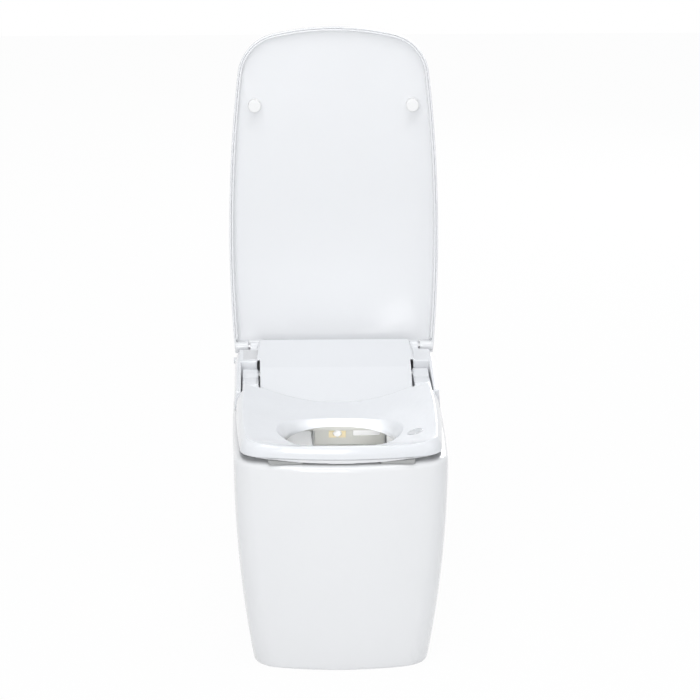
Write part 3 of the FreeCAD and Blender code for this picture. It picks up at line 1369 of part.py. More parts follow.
def make_dryer():
    """Flap, duct, blower case and wheel."""
    x, half = float(s.flap_x), float(s.flap_width) / 2
    sheet_t, high = float(s.flap_sheet), float(s.flap_height) / 2
    plate = slope_box(x - half, x + half, 0, sheet_t, -high, high)
    solid_node("dryer_flap", plate.fuse(flap_pin(s.flap_pin, 1.8)))

    wall = float(s.duct_wall)
    start = float(s.trough_wall)
    end = 104.0
    outer = slope_box(x - half - 1, x + half + 1, start, end, -high - 1, high + 1)
    inner = slope_box(x - half - 1 + wall, x + half + 1 - wall, start - 1, end + 20,
                      -high - 1 + wall, high + 1 - wall)
    top_cut = Part.makeBox(600, 600, 200, Vector(-300, -300, float(s.rim_z) + 22))
    stilt = slope_box(x - 12, x + 12, start, 60, -float(s.trough_below) + start, -high - 1)
    duct = outer.fuse(stilt).cut([inner, top_cut])

    bx, by = float(s.blower_x), float(lid_y - s.blower_y)
    low, tall, r = float(floor_z), float(s.blower_height), float(s.blower_radius)
    case = Part.makeCylinder(r, tall, Vector(bx, by, low))
    nose_y = slope_place(0, end - 14, 0).y
    nose = Part.makeBox(2 * half + 2, by - nose_y, 13, Vector(x - half - 1, nose_y, low + 3))
    case = case.fuse(nose)
    room = Part.makeCylinder(r - 3, tall - 5, Vector(bx, by, low + 2.5))
    throat = Part.makeBox(2 * half - 2, by - nose_y - 4, 9, Vector(x - half + 1, nose_y + 2, low + 5))
    intake = Part.makeCylinder(16, 20, Vector(bx, by, low + tall - 8))
    duct_air = slope_box(x - half + 2, x + half - 2, start, end, 2 - high, high - 2)
    case = case.cut([room.fuse(throat), intake, duct_air])
    shaft_r = float(s.fan_shaft)
    bearing = Part.makeCylinder(7, 4, Vector(bx, by, low + 2))
    case = case.fuse(bearing)
    case = case.cut(Part.makeCylinder(shaft_r + float(s.running_gap), 20, Vector(bx, by, low - 8)))
    duct = duct.cut(case.fuse(room).fuse(throat))
    duct = sorted(duct.Solids, key=lambda item: item.Volume)[-1]
    solid_node("dryer_duct", duct)
    solid_node("blower_case", sorted(case.Solids, key=lambda item: item.Volume)[-1])

    wheel_r, wheel_h = float(s.impeller_radius), float(s.impeller_height)
    base_z = low + 7.5
    plate = Part.makeCylinder(wheel_r, 1.5, Vector(bx, by, base_z))
    hub = Part.makeCylinder(8, 9, Vector(bx, by, base_z))
    shaft = Part.makeCylinder(shaft_r, base_z - low + 1, Vector(bx, by, low + 0.2))
    rim = Part.makeCylinder(wheel_r, 1.5, Vector(bx, by, base_z + wheel_h - 3))
    rim = rim.cut(Part.makeCylinder(wheel_r - 6, 4, Vector(bx, by, base_z + wheel_h - 4)))
    blades = []
    for index in range(int(float(s.impeller_blades))):
        blade = Part.makeBox(7, 1.0, wheel_h - 2, Vector(wheel_r - 7.5, 0, 0))
        blade.rotate(Vector(wheel_r - 4, 0, 0), Vector(0, 0, 1), 35)
        blade.rotate(Vector(0, 0, 0), Vector(0, 0, 1), index * 360 / float(s.impeller_blades))
        blade.translate(Vector(bx, by, base_z + 0.5))
        blades.append(blade)
    ring = Part.makeCylinder(wheel_r, wheel_h, Vector(bx, by, base_z))
    wheel = plate.fuse([hub, shaft, rim] + blades).common(ring.fuse([shaft]))
    solid_node("blower_wheel", sorted(wheel.Solids, key=lambda item: item.Volume)[-1])


# ---------------------------------------------------------------- pieces inside the housing


def make_inner_pieces():
    """Water heater, control box and odour filter, which stand on the base tray."""
    heater = new_body("water_heater")
    base = sketch(heater, "XY_Plane", "heater_plan", floor_z)
    low_y = lid_y - 112
    left = -s.heater_x - s.heater_length / 2
    rectangle(base, left, low_y, left + s.heater_length, low_y + s.heater_depth)
    pad(heater, base, s.heater_height - 4)
    stub = sketch(heater, "XY_Plane", "heater_ports", floor_z + s.heater_height - 4)
    for share in (0.25, 0.75):
        circle(stub, left + s.heater_length * share, low_y + s.heater_depth / 2, 5)
    pad(heater, stub, 4)
    node(heater, "water_heater")

    board = new_body("control_box")
    base = sketch(board, "XY_Plane", "control_plan", floor_z)
    rectangle(base, -s.board_length / 2, lid_y + 8, s.board_length / 2, lid_y + 8 + s.board_depth)
    pad(board, base, s.board_height)
    lid_cut = sketch(board, "XY_Plane", "control_hollow", floor_z + 2)
    rectangle(lid_cut, -s.board_length / 2 + 2, lid_y + 10, s.board_length / 2 - 2,
              lid_y + 6 + s.board_depth)
    pocket(board, lid_cut, s.board_height - 4, reverse=True)
    node(board, "control_box")
    circuit = box("circuit_board_plate", -s.board_length / 2 + 4, lid_y + 12, floor_z + 2,
                  s.board_length - 8, s.board_depth - 8, 1.6)
    chips = [box("circuit_chip%d" % index, x, lid_y + 18, floor_z + 3.6, 18, 14, 5)
             for index, x in enumerate((-70, -30, 25, 60))]
    node(fuse("circuit_board", circuit, *chips), "circuit_board")

    side = s.filter_size
    case = box("filter_case", -side / 2, lid_y - 46, floor_z, side, side, 26)
    slots = [box("filter_slot%d" % index, 4 + index * 7 - side / 2, lid_y - 42, floor_z + 8,
                 3, side - 8, 30) for index in range(4)]
    node(cut("odour_filter", case, *slots), "odour_filter")


def make_button():
    """The manual flush button in the left cheek, which slides inwards."""
    y = lid_y + s.button_back
    probe = Part.makeLine(Vector(-300, float(y), float(s.button_z)), Vector(0, float(y),
                                                                           float(s.button_z)))
    skin = dim(-min(v.X for v in housing_mass().common(probe).Vertexes))
    cap = rod("button_cap", "-X", -skin + 8, y, s.button_z, s.button_radius, s.button_stand + 8)
    flange = rod("button_flange", "-X", -skin + 9, y, s.button_z, s.button_radius + 1.6, 1.6)
    node(fuse("flush_button", cap, flange), "flush_button")


# ---------------------------------------------------------------- water supply


def make_rear_bay():
    """Equipment plate, flush tank, pump, inlet valve and hoses inside the skirt's rear."""
    under = s.rim_z - s.ceramic_wall
    plate_y = lid_y + s.plate_y
    plate = new_body("equipment_plate")
    face = sketch(plate, "XZ_Plane", "plate_face", -plate_y)
    rectangle(face, -s.plate_half, s.plate_bottom, s.plate_half, under)
    pad(plate, face, s.plate_sheet, reverse=True)
    flange = sketch(plate, "XY_Plane", "plate_flange", under)
    rectangle(flange, -s.plate_half, plate_y, s.plate_half, plate_y + 24)
    pad(plate, flange, s.plate_sheet, reverse=True)
    holes = sketch(plate, "XZ_Plane", "plate_holes", -plate_y)
    for across in (-1, 0, 1):
        circle(holes, across * (s.plate_half - 16), s.plate_bottom + 14, 3)
    circle(holes, -s.valve_x - 7, s.hose_level, s.hose_radius + 3)
    pocket(plate, holes, s.plate_sheet + 1, reverse=False)
    node(plate, "equipment_plate")

    tank_left = -s.plate_half
    tank_front = plate_y - s.tank_depth
    tank_low = s.plate_bottom + 34
    outer = box("tank_outer", tank_left, tank_front, tank_low, s.tank_length, s.tank_depth,
                s.tank_height)
    wall = s.tank_wall
    inner = box("tank_inner", tank_left + wall, tank_front + wall, tank_low + wall,
                s.tank_length - 2 * wall, s.tank_depth - 2 * wall, s.tank_height - 2 * wall)
    neck = rod("tank_neck", "Z", tank_left + s.tank_length * 0.7, tank_front + s.tank_depth / 2,
               tank_low + s.tank_height - wall - 1, 20, wall + 2)
    node(cut("flush_tank", outer, inner, neck), "flush_tank")
    cap_base = rod("tank_cap_plug", "Z", tank_left + s.tank_length * 0.7,
                   tank_front + s.tank_depth / 2, tank_low + s.tank_height - wall, 20, wall)
    cap_top = rod("tank_cap_top", "Z", tank_left + s.tank_length * 0.7,
                  tank_front + s.tank_depth / 2, tank_low + s.tank_height, 25, 4)
    node(fuse("tank_cap", cap_base, cap_top), "tank_cap")

    pump_x = s.plate_half - s.pump_radius - 6
    pump_z = s.plate_bottom + 110
    can = rod("pump_can", "Y", pump_x, plate_y - s.pump_length, pump_z, s.pump_radius,
              s.pump_length)
    nose = rod("pump_nose", "Y", pump_x, plate_y - s.pump_length - 16, pump_z,
               s.pump_radius * 0.6, 18)
    outlet = rod("pump_outlet", "Z", pump_x, plate_y - s.pump_length * 0.5, pump_z, s.hose_radius,
                 s.pump_radius + 14)
    node(fuse("flush_pump", can, nose, outlet), "flush_pump")

    valve_low = s.valve_z - s.valve_side / 2
    valve_y = plate_y + s.plate_sheet
    body = box("valve_body", -s.valve_x - s.valve_side / 2, valve_y, valve_low, s.valve_side, 26,
               s.valve_side)
    coil = rod("valve_coil", "X", -s.valve_x + s.valve_side / 2, valve_y + 13, s.valve_z, 12, 34)
    stub = rod("valve_stub", "Z", -s.valve_x, valve_y + 13, s.valve_z + s.valve_side / 2,
               s.hose_radius, 12)
    way = rod("valve_way", "Y", -s.valve_x, valve_y + 8, s.valve_z, s.spud_bore, 40)
    node(cut("inlet_valve", fuse("inlet_valve_blank", body, coil, stub), way), "inlet_valve")
    spud = new_body("inlet_spud")
    start = valve_y + 26
    barrel = sketch(spud, "XZ_Plane", "spud_flange", -start)
    circle(barrel, -s.valve_x, s.valve_z, s.spud_radius + 4)
    pad(spud, barrel, 3, reverse=True)
    thread = sketch(spud, "XZ_Plane", "spud_thread", -start)
    circle(thread, -s.valve_x, s.valve_z, s.spud_radius)
    pad(spud, thread, s.spud_length + 3, reverse=True)
    bore = sketch(spud, "XZ_Plane", "spud_bore", -start)
    circle(bore, -s.valve_x, s.valve_z, s.spud_bore)
    pocket(spud, bore, s.spud_length + 3 + OVER, reverse=False)
    node(spud, "inlet_spud")
    screen = rod("inlet_screen_disc", "Y", -s.valve_x, valve_y + 12, s.valve_z, s.spud_bore, 12)
    well = rod("inlet_screen_well", "Y", -s.valve_x, valve_y + 14, s.valve_z, s.spud_bore - 1.2, 12)
    node(cut("inlet_screen", screen, well), "inlet_screen")

    run = [Vector(-float(s.valve_x), float(valve_y) + 13,
                  float(s.valve_z + s.valve_side / 2) + 12),
           Vector(-float(s.valve_x), float(valve_y) + 13, float(s.hose_level)),
           Vector(-float(s.hose_x), float(lid_y - s.hose_y), float(s.hose_level)),
           Vector(-float(s.hose_x), float(lid_y - s.hose_y), float(floor_z) + 6)]
    hose = bent_pipe(run, 12.0, float(s.hose_radius) - 1.5)
    solid_node("supply_hose", hose)


def make_rear_fittings():
    """Cord gland in the housing's rear wall, and the screws that hold the cover."""
    gland = rod("gland_barrel", "Y", s.gland_x, back_y - s.gland_length + 2, s.gland_z,
                s.gland_radius, s.gland_length)
    flange = rod("gland_flange", "Y", s.gland_x, back_y, s.gland_z, s.gland_radius + 2, 2)
    way = rod("gland_way", "Y", s.gland_x, back_y - 2 * s.gland_length, s.gland_z, s.gland_bore,
              4 * s.gland_length)
    node(cut("cord_gland", fuse("cord_gland_blank", gland, flange), way), "cord_gland")
    screws = []
    for index, share in enumerate((0.95, 0.35)):
        x = s.core_half * share
        head = rod("cover_screw_head%d" % index, "Y", x, back_y, s.gland_z, s.service_screw_head, 1.6)
        screws.append(head)
    node(pair("cover_screws", fuse("cover_screw", *screws)), "cover_screws")


make_housing()
make_tray()
make_trough()
make_nozzle()
make_dryer()
make_inner_pieces()
make_button()
make_rear_bay()
make_rear_fittings()


# ---------------------------------------------------------------- check and write


def write_parts():
    doc.recompute()
    for item in doc.Objects:
        if "Invalid" in item.State or "Error" in item.State:
            raise RuntimeError("%s could not be worked out" % item.Label)
    os.makedirs("parts", exist_ok=True)
    for label, piece in NODES.items():
        shape = piece.Shape
        if shape.isNull() or not shape.isValid() or not shape.Solids:
            raise RuntimeError("%s has no valid solid" % label)
        print("%-20s %2d solids %10.0f mm3" % (label, len(shape.Solids), shape.Volume))
        shape.exportStep("parts/%s.step" % label)


write_parts()
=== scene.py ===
import json
import math

import bmesh
import bpy
import numpy as np
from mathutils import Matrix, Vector


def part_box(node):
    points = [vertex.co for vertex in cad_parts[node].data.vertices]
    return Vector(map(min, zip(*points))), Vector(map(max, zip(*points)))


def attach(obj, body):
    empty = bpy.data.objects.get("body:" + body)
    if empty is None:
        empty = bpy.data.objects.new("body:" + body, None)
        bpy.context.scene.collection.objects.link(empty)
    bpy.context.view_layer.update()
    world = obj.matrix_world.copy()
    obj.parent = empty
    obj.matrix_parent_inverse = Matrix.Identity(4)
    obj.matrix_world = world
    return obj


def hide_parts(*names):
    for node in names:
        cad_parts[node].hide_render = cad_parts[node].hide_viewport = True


# A floor-standing smart toilet with its lid open, seen from the front and a little above.
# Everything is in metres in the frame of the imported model: +X right, -Y front, +Z up.

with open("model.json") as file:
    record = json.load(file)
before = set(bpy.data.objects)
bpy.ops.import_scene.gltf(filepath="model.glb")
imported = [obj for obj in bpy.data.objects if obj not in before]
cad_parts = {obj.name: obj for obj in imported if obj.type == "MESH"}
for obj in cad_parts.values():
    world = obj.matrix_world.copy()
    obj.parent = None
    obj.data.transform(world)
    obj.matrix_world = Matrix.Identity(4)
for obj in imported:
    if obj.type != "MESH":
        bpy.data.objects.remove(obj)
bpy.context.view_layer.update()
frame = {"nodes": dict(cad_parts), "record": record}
NODES = frame["nodes"]
ROWS = {row["node"]: row for row in frame["record"]["subparts"]}
BODY_OF = {node: body for body, nodes in frame["record"]["behaviour"]["bodies"].items()
           for node in nodes}
MM = 0.001
SEAM = 1e-7  # points closer than this at the seam of a closed form are one
TOUCH = 1e-6  # corners of a node closer than this are one


# ---------------------------------------------------------------- shader helpers


class Value:
    """A shader value. Sums on values add Math nodes to the material they belong to."""

    def __init__(self, finish, socket):
        self.finish = finish
        self.socket = socket

    def _math(self, operation, first, second=None):
        sockets = {0: first}
        if second is not None:
            sockets[1] = second
        return self.finish.node("Math", {"operation": operation}, sockets)

    def __add__(self, other):
        return self._math("ADD", self, other)

    __radd__ = __add__

    def __sub__(self, other):
        return self._math("SUBTRACT", self, other)

    def __rsub__(self, other):
        return self._math("SUBTRACT", other, self)

    def __mul__(self, other):
        return self._math("MULTIPLY", self, other)

    __rmul__ = __mul__

    def __gt__(self, other):
        return self._math("GREATER_THAN", self, other)

    def __lt__(self, other):
        return self._math("LESS_THAN", self, other)

    def at_least(self, other):
        return self._math("MAXIMUM", self, other)


class Finish:
    """One procedural material, or the world, and the nodes it is made of."""

    def __init__(self, name, world=None):
        self.material = world or bpy.data.materials.new(name)
        self.material.use_nodes = True
        self.tree = self.material.node_tree
        self.tree.nodes.clear()

    def node(self, kind, settings=None, sockets=None, out=0):
        """Adds a node: its settings first, then the values or links of its sockets."""
        made = self.tree.nodes.new("ShaderNode" + kind)
        for key, setting in (settings or {}).items():
            if key == "stops":
                self._stops(made.color_ramp, setting)
            else:
                setattr(made, key, setting)
        for key, given in (sockets or {}).items():
            self.put(made.inputs[key], given)
        return Value(self, made.outputs[out])

    def _stops(self, ramp, stops):
        while len(ramp.elements) < len(stops):
            ramp.elements.new(0.5)
        for element, (place, colour) in zip(ramp.elements, stops):
            element.position = place
            element.color = colour if len(colour) == 4 else (*colour, 1.0)

    def put(self, socket, given):
        if isinstance(given, Value):
            self.tree.links.new(given.socket, socket)
        elif isinstance(given, tuple) and len(given) == 3 and socket.type == "RGBA":
            socket.default_value = (*given, 1.0)
        else:
            socket.default_value = given

    def place(self):
        """Places on the piece itself, in metres."""
        return self.node("TexCoord", out="Object")

    def axes(self, vector):
        split = self.tree.nodes.new("ShaderNodeSeparateXYZ")
        self.put(split.inputs[0], vector)
        return [Value(self, socket) for socket in split.outputs]

    def stretched(self, x, y, z):
        """Places on the piece with each axis scaled."""
        return self.node("Mapping", {"vector_type": "POINT"},
                         {"Vector": self.place(), "Scale": (x, y, z)})

    def noise(self, scale, detail=3.0, rough=0.5, vector=None):
        """Soft noise from 0 to 1."""
        return self.node("TexNoise", None, {"Vector": vector or self.place(), "Scale": scale,
                                            "Detail": detail, "Roughness": rough})

    def mix(self, factor, first, second):
        """A colour between two."""
        made = self.tree.nodes.new("ShaderNodeMix")
        made.data_type = "RGBA"
        self.put(made.inputs["Factor"], factor)
        self.put(made.inputs["A"], first)
        self.put(made.inputs["B"], second)
        return Value(self, made.outputs["Result"])

    def band(self, amount, low, high):
        """0 below low, 1 above high, smooth between."""
        return self.node("MapRange", {"interpolation_type": "SMOOTHSTEP"},
                         {"Value": amount, "From Min": low, "From Max": high})

    def bump(self, height, depth, strength=1.0, normal=None):
        sockets = {"Height": height, "Distance": depth, "Strength": strength}
        if normal is not None:
            sockets["Normal"] = normal
        return self.node("Bump", None, sockets)

    def surface(self, shader, kind="OutputMaterial"):
        output = self.tree.nodes.new("ShaderNode" + kind)
        self.put(output.inputs["Surface"], shader)
        return self.material

    def principled(self, **sockets):
        """The surface shader. Names are the sockets' own with _ for a space."""
        named = {key.replace("_", " "): given for key, given in sockets.items()}
        return self.surface(self.node("BsdfPrincipled", None, named))


def tint(colour, factor):
    return tuple(min(1.0, part * factor) for part in colour)


# ---------------------------------------------------------------- finishes


def gloss_shell(name, colour, rough=0.16, coat=0.35):
    """Injection-moulded glossy plastic: even colour, a faint flow tone, fine orange peel."""
    f = Finish(name)
    flow = f.noise(3.5, 2.0)
    fine = f.noise(900.0, 2.0)
    film = f.noise(24.0, 5.0, 0.62)
    wipe = f.band(film, 0.42, 0.72)
    base = f.mix(flow, tint(colour, 0.985), tint(colour, 1.01))
    wave = f.bump(f.noise(16.0, 1.0), 0.0004, 0.25)
    return f.principled(Base_Color=base, Roughness=rough + wipe * 0.05 + fine * 0.015,
                        IOR=1.50, Coat_Weight=coat, Coat_Roughness=0.06,
                        Normal=f.bump(fine, 0.00002, 0.35, wave))


def satin_shell(name, colour, rough=0.42):
    """Moulded plastic with a fine spark-eroded grain."""
    f = Finish(name)
    flow = f.noise(5.0, 2.0)
    grain = f.noise(1500.0, 3.0, 0.6)
    scuff = f.band(f.noise(60.0, 4.0, 0.7), 0.55, 0.8)
    base = f.mix(flow, tint(colour, 0.97), tint(colour, 1.02))
    return f.principled(Base_Color=base, Roughness=rough + grain * 0.10 - scuff * 0.06, IOR=1.49,
                        Normal=f.bump(grain, 0.00006, 0.5))


def glaze(name, colour):
    """Vitreous china: a thick clear glaze that lies in soft waves over a white body."""
    f = Finish(name)
    pool = f.noise(7.0, 3.0)
    wave = f.noise(22.0, 1.5, 0.4)
    speck = f.band(f.noise(420.0, 1.0), 0.76, 0.80)
    base = f.mix(pool, tint(colour, 0.985), tint(colour, 1.01))
    base = f.mix(speck * 0.12, base, tint(colour, 0.86))
    return f.principled(Base_Color=base, Roughness=0.07 + pool * 0.05, IOR=1.52, Coat_Weight=0.5,
                        Coat_Roughness=0.03,
                        Normal=f.bump(f.noise(260.0, 1.0), 0.00002, 0.3,
                                      f.bump(wave, 0.0007, 0.22)))


def soft_rubber(name, colour):
    """Matt rubber with a fine tooth and a bloom of dust."""
    f = Finish(name)
    tooth = f.noise(1800.0, 3.0, 0.65)
    bloom = f.band(f.noise(45.0, 4.0), 0.40, 0.75)
    base = f.mix(bloom * 0.5, colour, tint(colour, 1.08))
    return f.principled(Base_Color=base, Roughness=0.62 + tooth * 0.2, IOR=1.45,
                        Normal=f.bump(tooth, 0.00008, 0.5))


def metal(name, colour, rough=0.3, drawn=(60.0, 60.0, 1400.0)):
    """Bright metal with a drawn or turned grain."""
    f = Finish(name)
    grain = f.noise(1.0, 2.0, 0.5, f.stretched(*drawn))
    smear = f.noise(30.0, 3.0)
    base = f.mix(smear, tint(colour, 0.9), tint(colour, 1.04))
    return f.principled(Base_Color=base, Metallic=1.0, Roughness=rough + grain * 0.12,
                        Normal=f.bump(grain, 0.00004, 0.6))


def zinc_sheet(name, colour):
    """Galvanised sheet with spangles."""
    f = Finish(name)
    spangle = f.node("TexVoronoi", {"feature": "F1"}, {"Vector": f.place(), "Scale": 90.0}, 1)
    shade = f.node("RGBToBW", None, {"Color": spangle})
    base = f.mix(shade, tint(colour, 0.82), tint(colour, 1.1))
    return f.principled(Base_Color=base, Metallic=0.9, Roughness=0.34 + shade * 0.16,
                        Normal=f.bump(shade, 0.00005, 0.4))


def clear_grey(name, colour):
    """A smoked window, glossy and a little darker towards its depth."""
    f = Finish(name)
    depth = f.noise(140.0, 2.0)
    base = f.mix(depth, tint(colour, 0.95), tint(colour, 1.04))
    return f.principled(Base_Color=base, Roughness=0.12 + depth * 0.04, IOR=1.5, Coat_Weight=0.5,
                        Normal=f.bump(depth, 0.00003, 0.3))


def amber_plastic(name, colour):
    """Translucent amber moulding."""
    f = Finish(name)
    swirl = f.noise(120.0, 3.0)
    base = f.mix(swirl, tint(colour, 0.9), tint(colour, 1.12))
    return f.principled(Base_Color=base, Roughness=0.2 + swirl * 0.1, IOR=1.5,
                        Subsurface_Weight=0.25, Subsurface_Radius=(0.004, 0.003, 0.001),
                        Normal=f.bump(swirl, 0.00005, 0.3))


def carbon_block(name, colour):
    """Pressed carbon granules."""
    f = Finish(name)
    cell = f.node("TexVoronoi", {"feature": "F1"}, {"Vector": f.place(), "Scale": 700.0})
    base = f.mix(cell, tint(colour, 0.7), tint(colour, 1.8))
    return f.principled(Base_Color=base, Roughness=0.55 + cell * 0.3,
                        Normal=f.bump(cell, 0.0003, 0.8))


def circuit_laminate(name, colour):
    """Solder mask over copper tracks."""
    f = Finish(name)
    x, y, _ = f.axes(f.place())
    track = f.node("Math", {"operation": "PINGPONG"}, {0: x, 1: 0.0016})
    cross = f.node("Math", {"operation": "PINGPONG"}, {0: y, 1: 0.0040})
    lines = (track < 0.00035).at_least(cross < 0.00030) * (f.noise(120.0, 1.0) > 0.5)
    base = f.mix(lines, colour, tint(colour, 1.9))
    return f.principled(Base_Color=base, Roughness=0.38 - lines * 0.08, IOR=1.55,
                        Normal=f.bump(lines, 0.00004, 0.8))


def heating_foil(name, colour):
    """Metal foil over a printed heating track."""
    f = Finish(name)
    crinkle = f.noise(130.0, 4.0, 0.6)
    base = f.mix(crinkle, tint(colour, 0.82), tint(colour, 1.08))
    return f.principled(Base_Color=base, Metallic=0.8, Roughness=0.28 + crinkle * 0.2,
                        Normal=f.bump(crinkle, 0.0005, 0.7))


def braided_hose(name, colour):
    """Stainless braid over a hose."""
    f = Finish(name)
    weave = f.node("TexWave", {"wave_type": "BANDS", "bands_direction": "DIAGONAL"},
                   {"Vector": f.place(), "Scale": 260.0, "Distortion": 1.0})
    shade = f.node("RGBToBW", None, {"Color": weave})
    base = f.mix(shade, tint(colour, 0.5), tint(colour, 1.1))
    return f.principled(Base_Color=base, Metallic=0.85, Roughness=0.32 + shade * 0.1,
                        Normal=f.bump(shade, 0.0003, 0.8))


FINISHES = {
    "ceramic": glaze("china_glaze", (0.825, 0.83, 0.838)),
    "seat_plastic": gloss_shell("seat_gloss", (0.805, 0.82, 0.842), 0.15),
    "lid_plastic": gloss_shell("lid_gloss", (0.812, 0.82, 0.834), 0.17),
    "housing_plastic": gloss_shell("housing_gloss", (0.808, 0.82, 0.84), 0.2),
    "seat_base_plastic": gloss_shell("seat_base_gloss", (0.815, 0.82, 0.83), 0.3, 0.1),
    # The bumper rubber is set darker than the rubber itself: painted shade of the gap under the
    # seat. The seat's feet and the trough's rubber lip both take it.
    "bumper_rubber": soft_rubber("bumper_rubber", (0.38, 0.385, 0.38)),
    "window_plastic": clear_grey("smoked_window", (0.66, 0.665, 0.675)),
    "touch_metal": metal("disc_chrome", (0.62, 0.63, 0.64), 0.12, (300.0, 300.0, 300.0)),
    "inner_plastic": satin_shell("off_white_moulding", (0.84, 0.84, 0.835)),
    "trough_plastic": gloss_shell("trough_white", (0.54, 0.54, 0.505), 0.28, 0.1),
    "collar_plastic": amber_plastic("collar_amber", (0.74, 0.65, 0.44)),
    "nozzle_steel": metal("nozzle_steel", (0.66, 0.67, 0.68), 0.24, (900.0, 40.0, 40.0)),
    "gear_plastic": satin_shell("acetal", (0.74, 0.73, 0.68), 0.35),
    "motor_steel": metal("motor_steel", (0.50, 0.51, 0.52), 0.35),
    "pin_steel": metal("turned_steel", (0.55, 0.55, 0.56), 0.28, (1500.0, 60.0, 60.0)),
    "screw_steel": metal("screw_steel", (0.60, 0.60, 0.61), 0.25),
    "seal_rubber": soft_rubber("seal_rubber", (0.02, 0.02, 0.021)),
    "heating_foil": heating_foil("heating_foil", (0.62, 0.60, 0.57)),
    "circuit": circuit_laminate("circuit_laminate", (0.02, 0.11, 0.04)),
    "filter_carbon": carbon_block("carbon_block", (0.03, 0.03, 0.032)),
    "plate_steel": zinc_sheet("zinc_sheet", (0.52, 0.53, 0.54)),
    "brass": metal("turned_brass", (0.62, 0.45, 0.17), 0.25, (60.0, 1500.0, 60.0)),
    "hose": braided_hose("braided_hose", (0.58, 0.59, 0.60)),
    "dark_plastic": satin_shell("dark_moulding", (0.022, 0.022, 0.024), 0.4),
}


def dress_frame():
    """Gives every node of the frame the finish of its slot."""
    for name, row in ROWS.items():
        body = NODES[name]
        body.data.materials.clear()
        body.data.materials.append(FINISHES[row["material_slot"]])


# ---------------------------------------------------------------- mesh helpers


def piece_of(name, mesh, slot, body):
    """A new piece of the object that rides on a body and takes the finish of a slot."""
    piece = bpy.data.objects.new(name, mesh)
    bpy.context.scene.collection.objects.link(piece)
    mesh.materials.clear()
    mesh.materials.append(FINISHES[slot])
    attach(piece, body)
    return piece


def mesh_of(name, build):
    """A mesh from a function that fills a bmesh."""
    grid = bmesh.new()
    build(grid)
    bmesh.ops.recalc_face_normals(grid, faces=grid.faces)
    mesh = bpy.data.meshes.new(name)
    grid.to_mesh(mesh)
    grid.free()
    return mesh


def settled(piece, *steps):
    """Applies modifiers in turn, each given as its kind and settings."""
    for kind, settings in steps:
        made = piece.modifiers.new(kind.lower(), kind)
        for key, setting in settings.items():
            setattr(made, key, setting)
    graph = bpy.context.evaluated_depsgraph_get()
    mesh = bpy.data.meshes.new_from_object(piece.evaluated_get(graph))
    piece.modifiers.clear()
    piece.data = mesh


def smooth(mesh, corner=math.radians(38)):
    """Smooth shading that keeps edges sharper than the corner."""
    for face in mesh.polygons:
        face.use_smooth = True
    mesh.set_sharp_from_angle(angle=corner)


def moulded(name, node, cell, passes, keep, slot=None):
    """A copy of a node whose edges are rounded as a moulding's or a casting's are.
    cell is the size of the mesh it is rounded on, keep the share of that mesh that stays.
    It takes the finish of the node's own slot, unless another is given."""
    slot = slot or ROWS[node]["material_slot"]
    piece = piece_of(name, NODES[node].data.copy(), slot, BODY_OF[node])
    settled(piece, ("REMESH", {"mode": "VOXEL", "voxel_size": cell}),
            ("SMOOTH", {"factor": 0.5, "iterations": passes}),
            ("DECIMATE", {"decimate_type": "COLLAPSE", "ratio": keep}))
    smooth(piece.data, math.radians(60))
    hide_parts(node)


def lofted(grid, rings, capped=True):
    """Skins rings of points, one after another."""
    rows = [[grid.verts.new(point) for point in ring] for ring in rings]
    count = len(rows[0])
    for low, high in zip(rows, rows[1:]):
        for index in range(count):
            after = (index + 1) % count
            grid.faces.new((low[index], low[after], high[after], high[index]))
    if capped:
        grid.faces.new(rows[0][::-1])
        grid.faces.new(rows[-1])


def around(steps):
    """Equal turns round a circle."""
    return [2 * math.pi * step / steps for step in range(steps)]


def turned(grid, profile, origin, axis, steps=48):
    """A turned form: profile holds (radius, distance along the axis) from one end to the other."""
    axis = Vector(axis).normalized()
    side = axis.orthogonal().normalized()
    other = axis.cross(side)
    rings = []
    for radius, along in profile:
        centre = Vector(origin) + axis * along
        rings.append([centre + (side * math.cos(turn) + other * math.sin(turn)) * radius
                      for turn in around(steps)])
    lofted(grid, rings)


def bead(grid, route, radius, up, sides=10, closed=False):
    """A round bead along a line of points; up is square to the line everywhere."""
    count = len(route)
    up = Vector(up).normalized()
    rings = []
    for index, point in enumerate(route):
        before = route[index - 1] if closed or index else route[index]
        after = route[(index + 1) % count] if closed or index < count - 1 else route[index]
        along = (Vector(after) - Vector(before)).normalized()
        across = along.cross(up).normalized()
        rise = across.cross(along)
        rings.append([Vector(point) + (across * math.cos(turn) + rise * math.sin(turn)) * radius
                      for turn in around(sides)])
    lofted(grid, rings + rings[:1] if closed else rings, capped=not closed)
    if closed:
        bmesh.ops.remove_doubles(grid, verts=grid.verts, dist=SEAM)


def lie_of(node):
    """Centre, upward normal and corner points of a thin flat node."""
    points = np.array([corner.co for corner in NODES[node].data.vertices], float)
    middle = points.mean(0)
    axes = np.linalg.svd(points - middle, full_matrices=False)[2]
    normal = Vector(axes[2])
    if normal.z < 0:
        normal = -normal
    return Vector(middle), normal, points


def rounded_loop(centre, first, second, half_a, half_b, corner, steps=8):
    """A rectangle with round corners in the plane of two directions."""
    loop = []
    for quarter, (sign_a, sign_b) in enumerate(((1, 1), (-1, 1), (-1, -1), (1, -1))):
        for step in range(steps + 1):
            turn = (quarter + step / steps) * math.pi / 2
            a = sign_a * (half_a - corner) + corner * math.cos(turn)
            b = sign_b * (half_b - corner) + corner * math.sin(turn)
            loop.append(centre + first * a + second * b)
    return loop


# ---------------------------------------------------------------- mouldings and castings


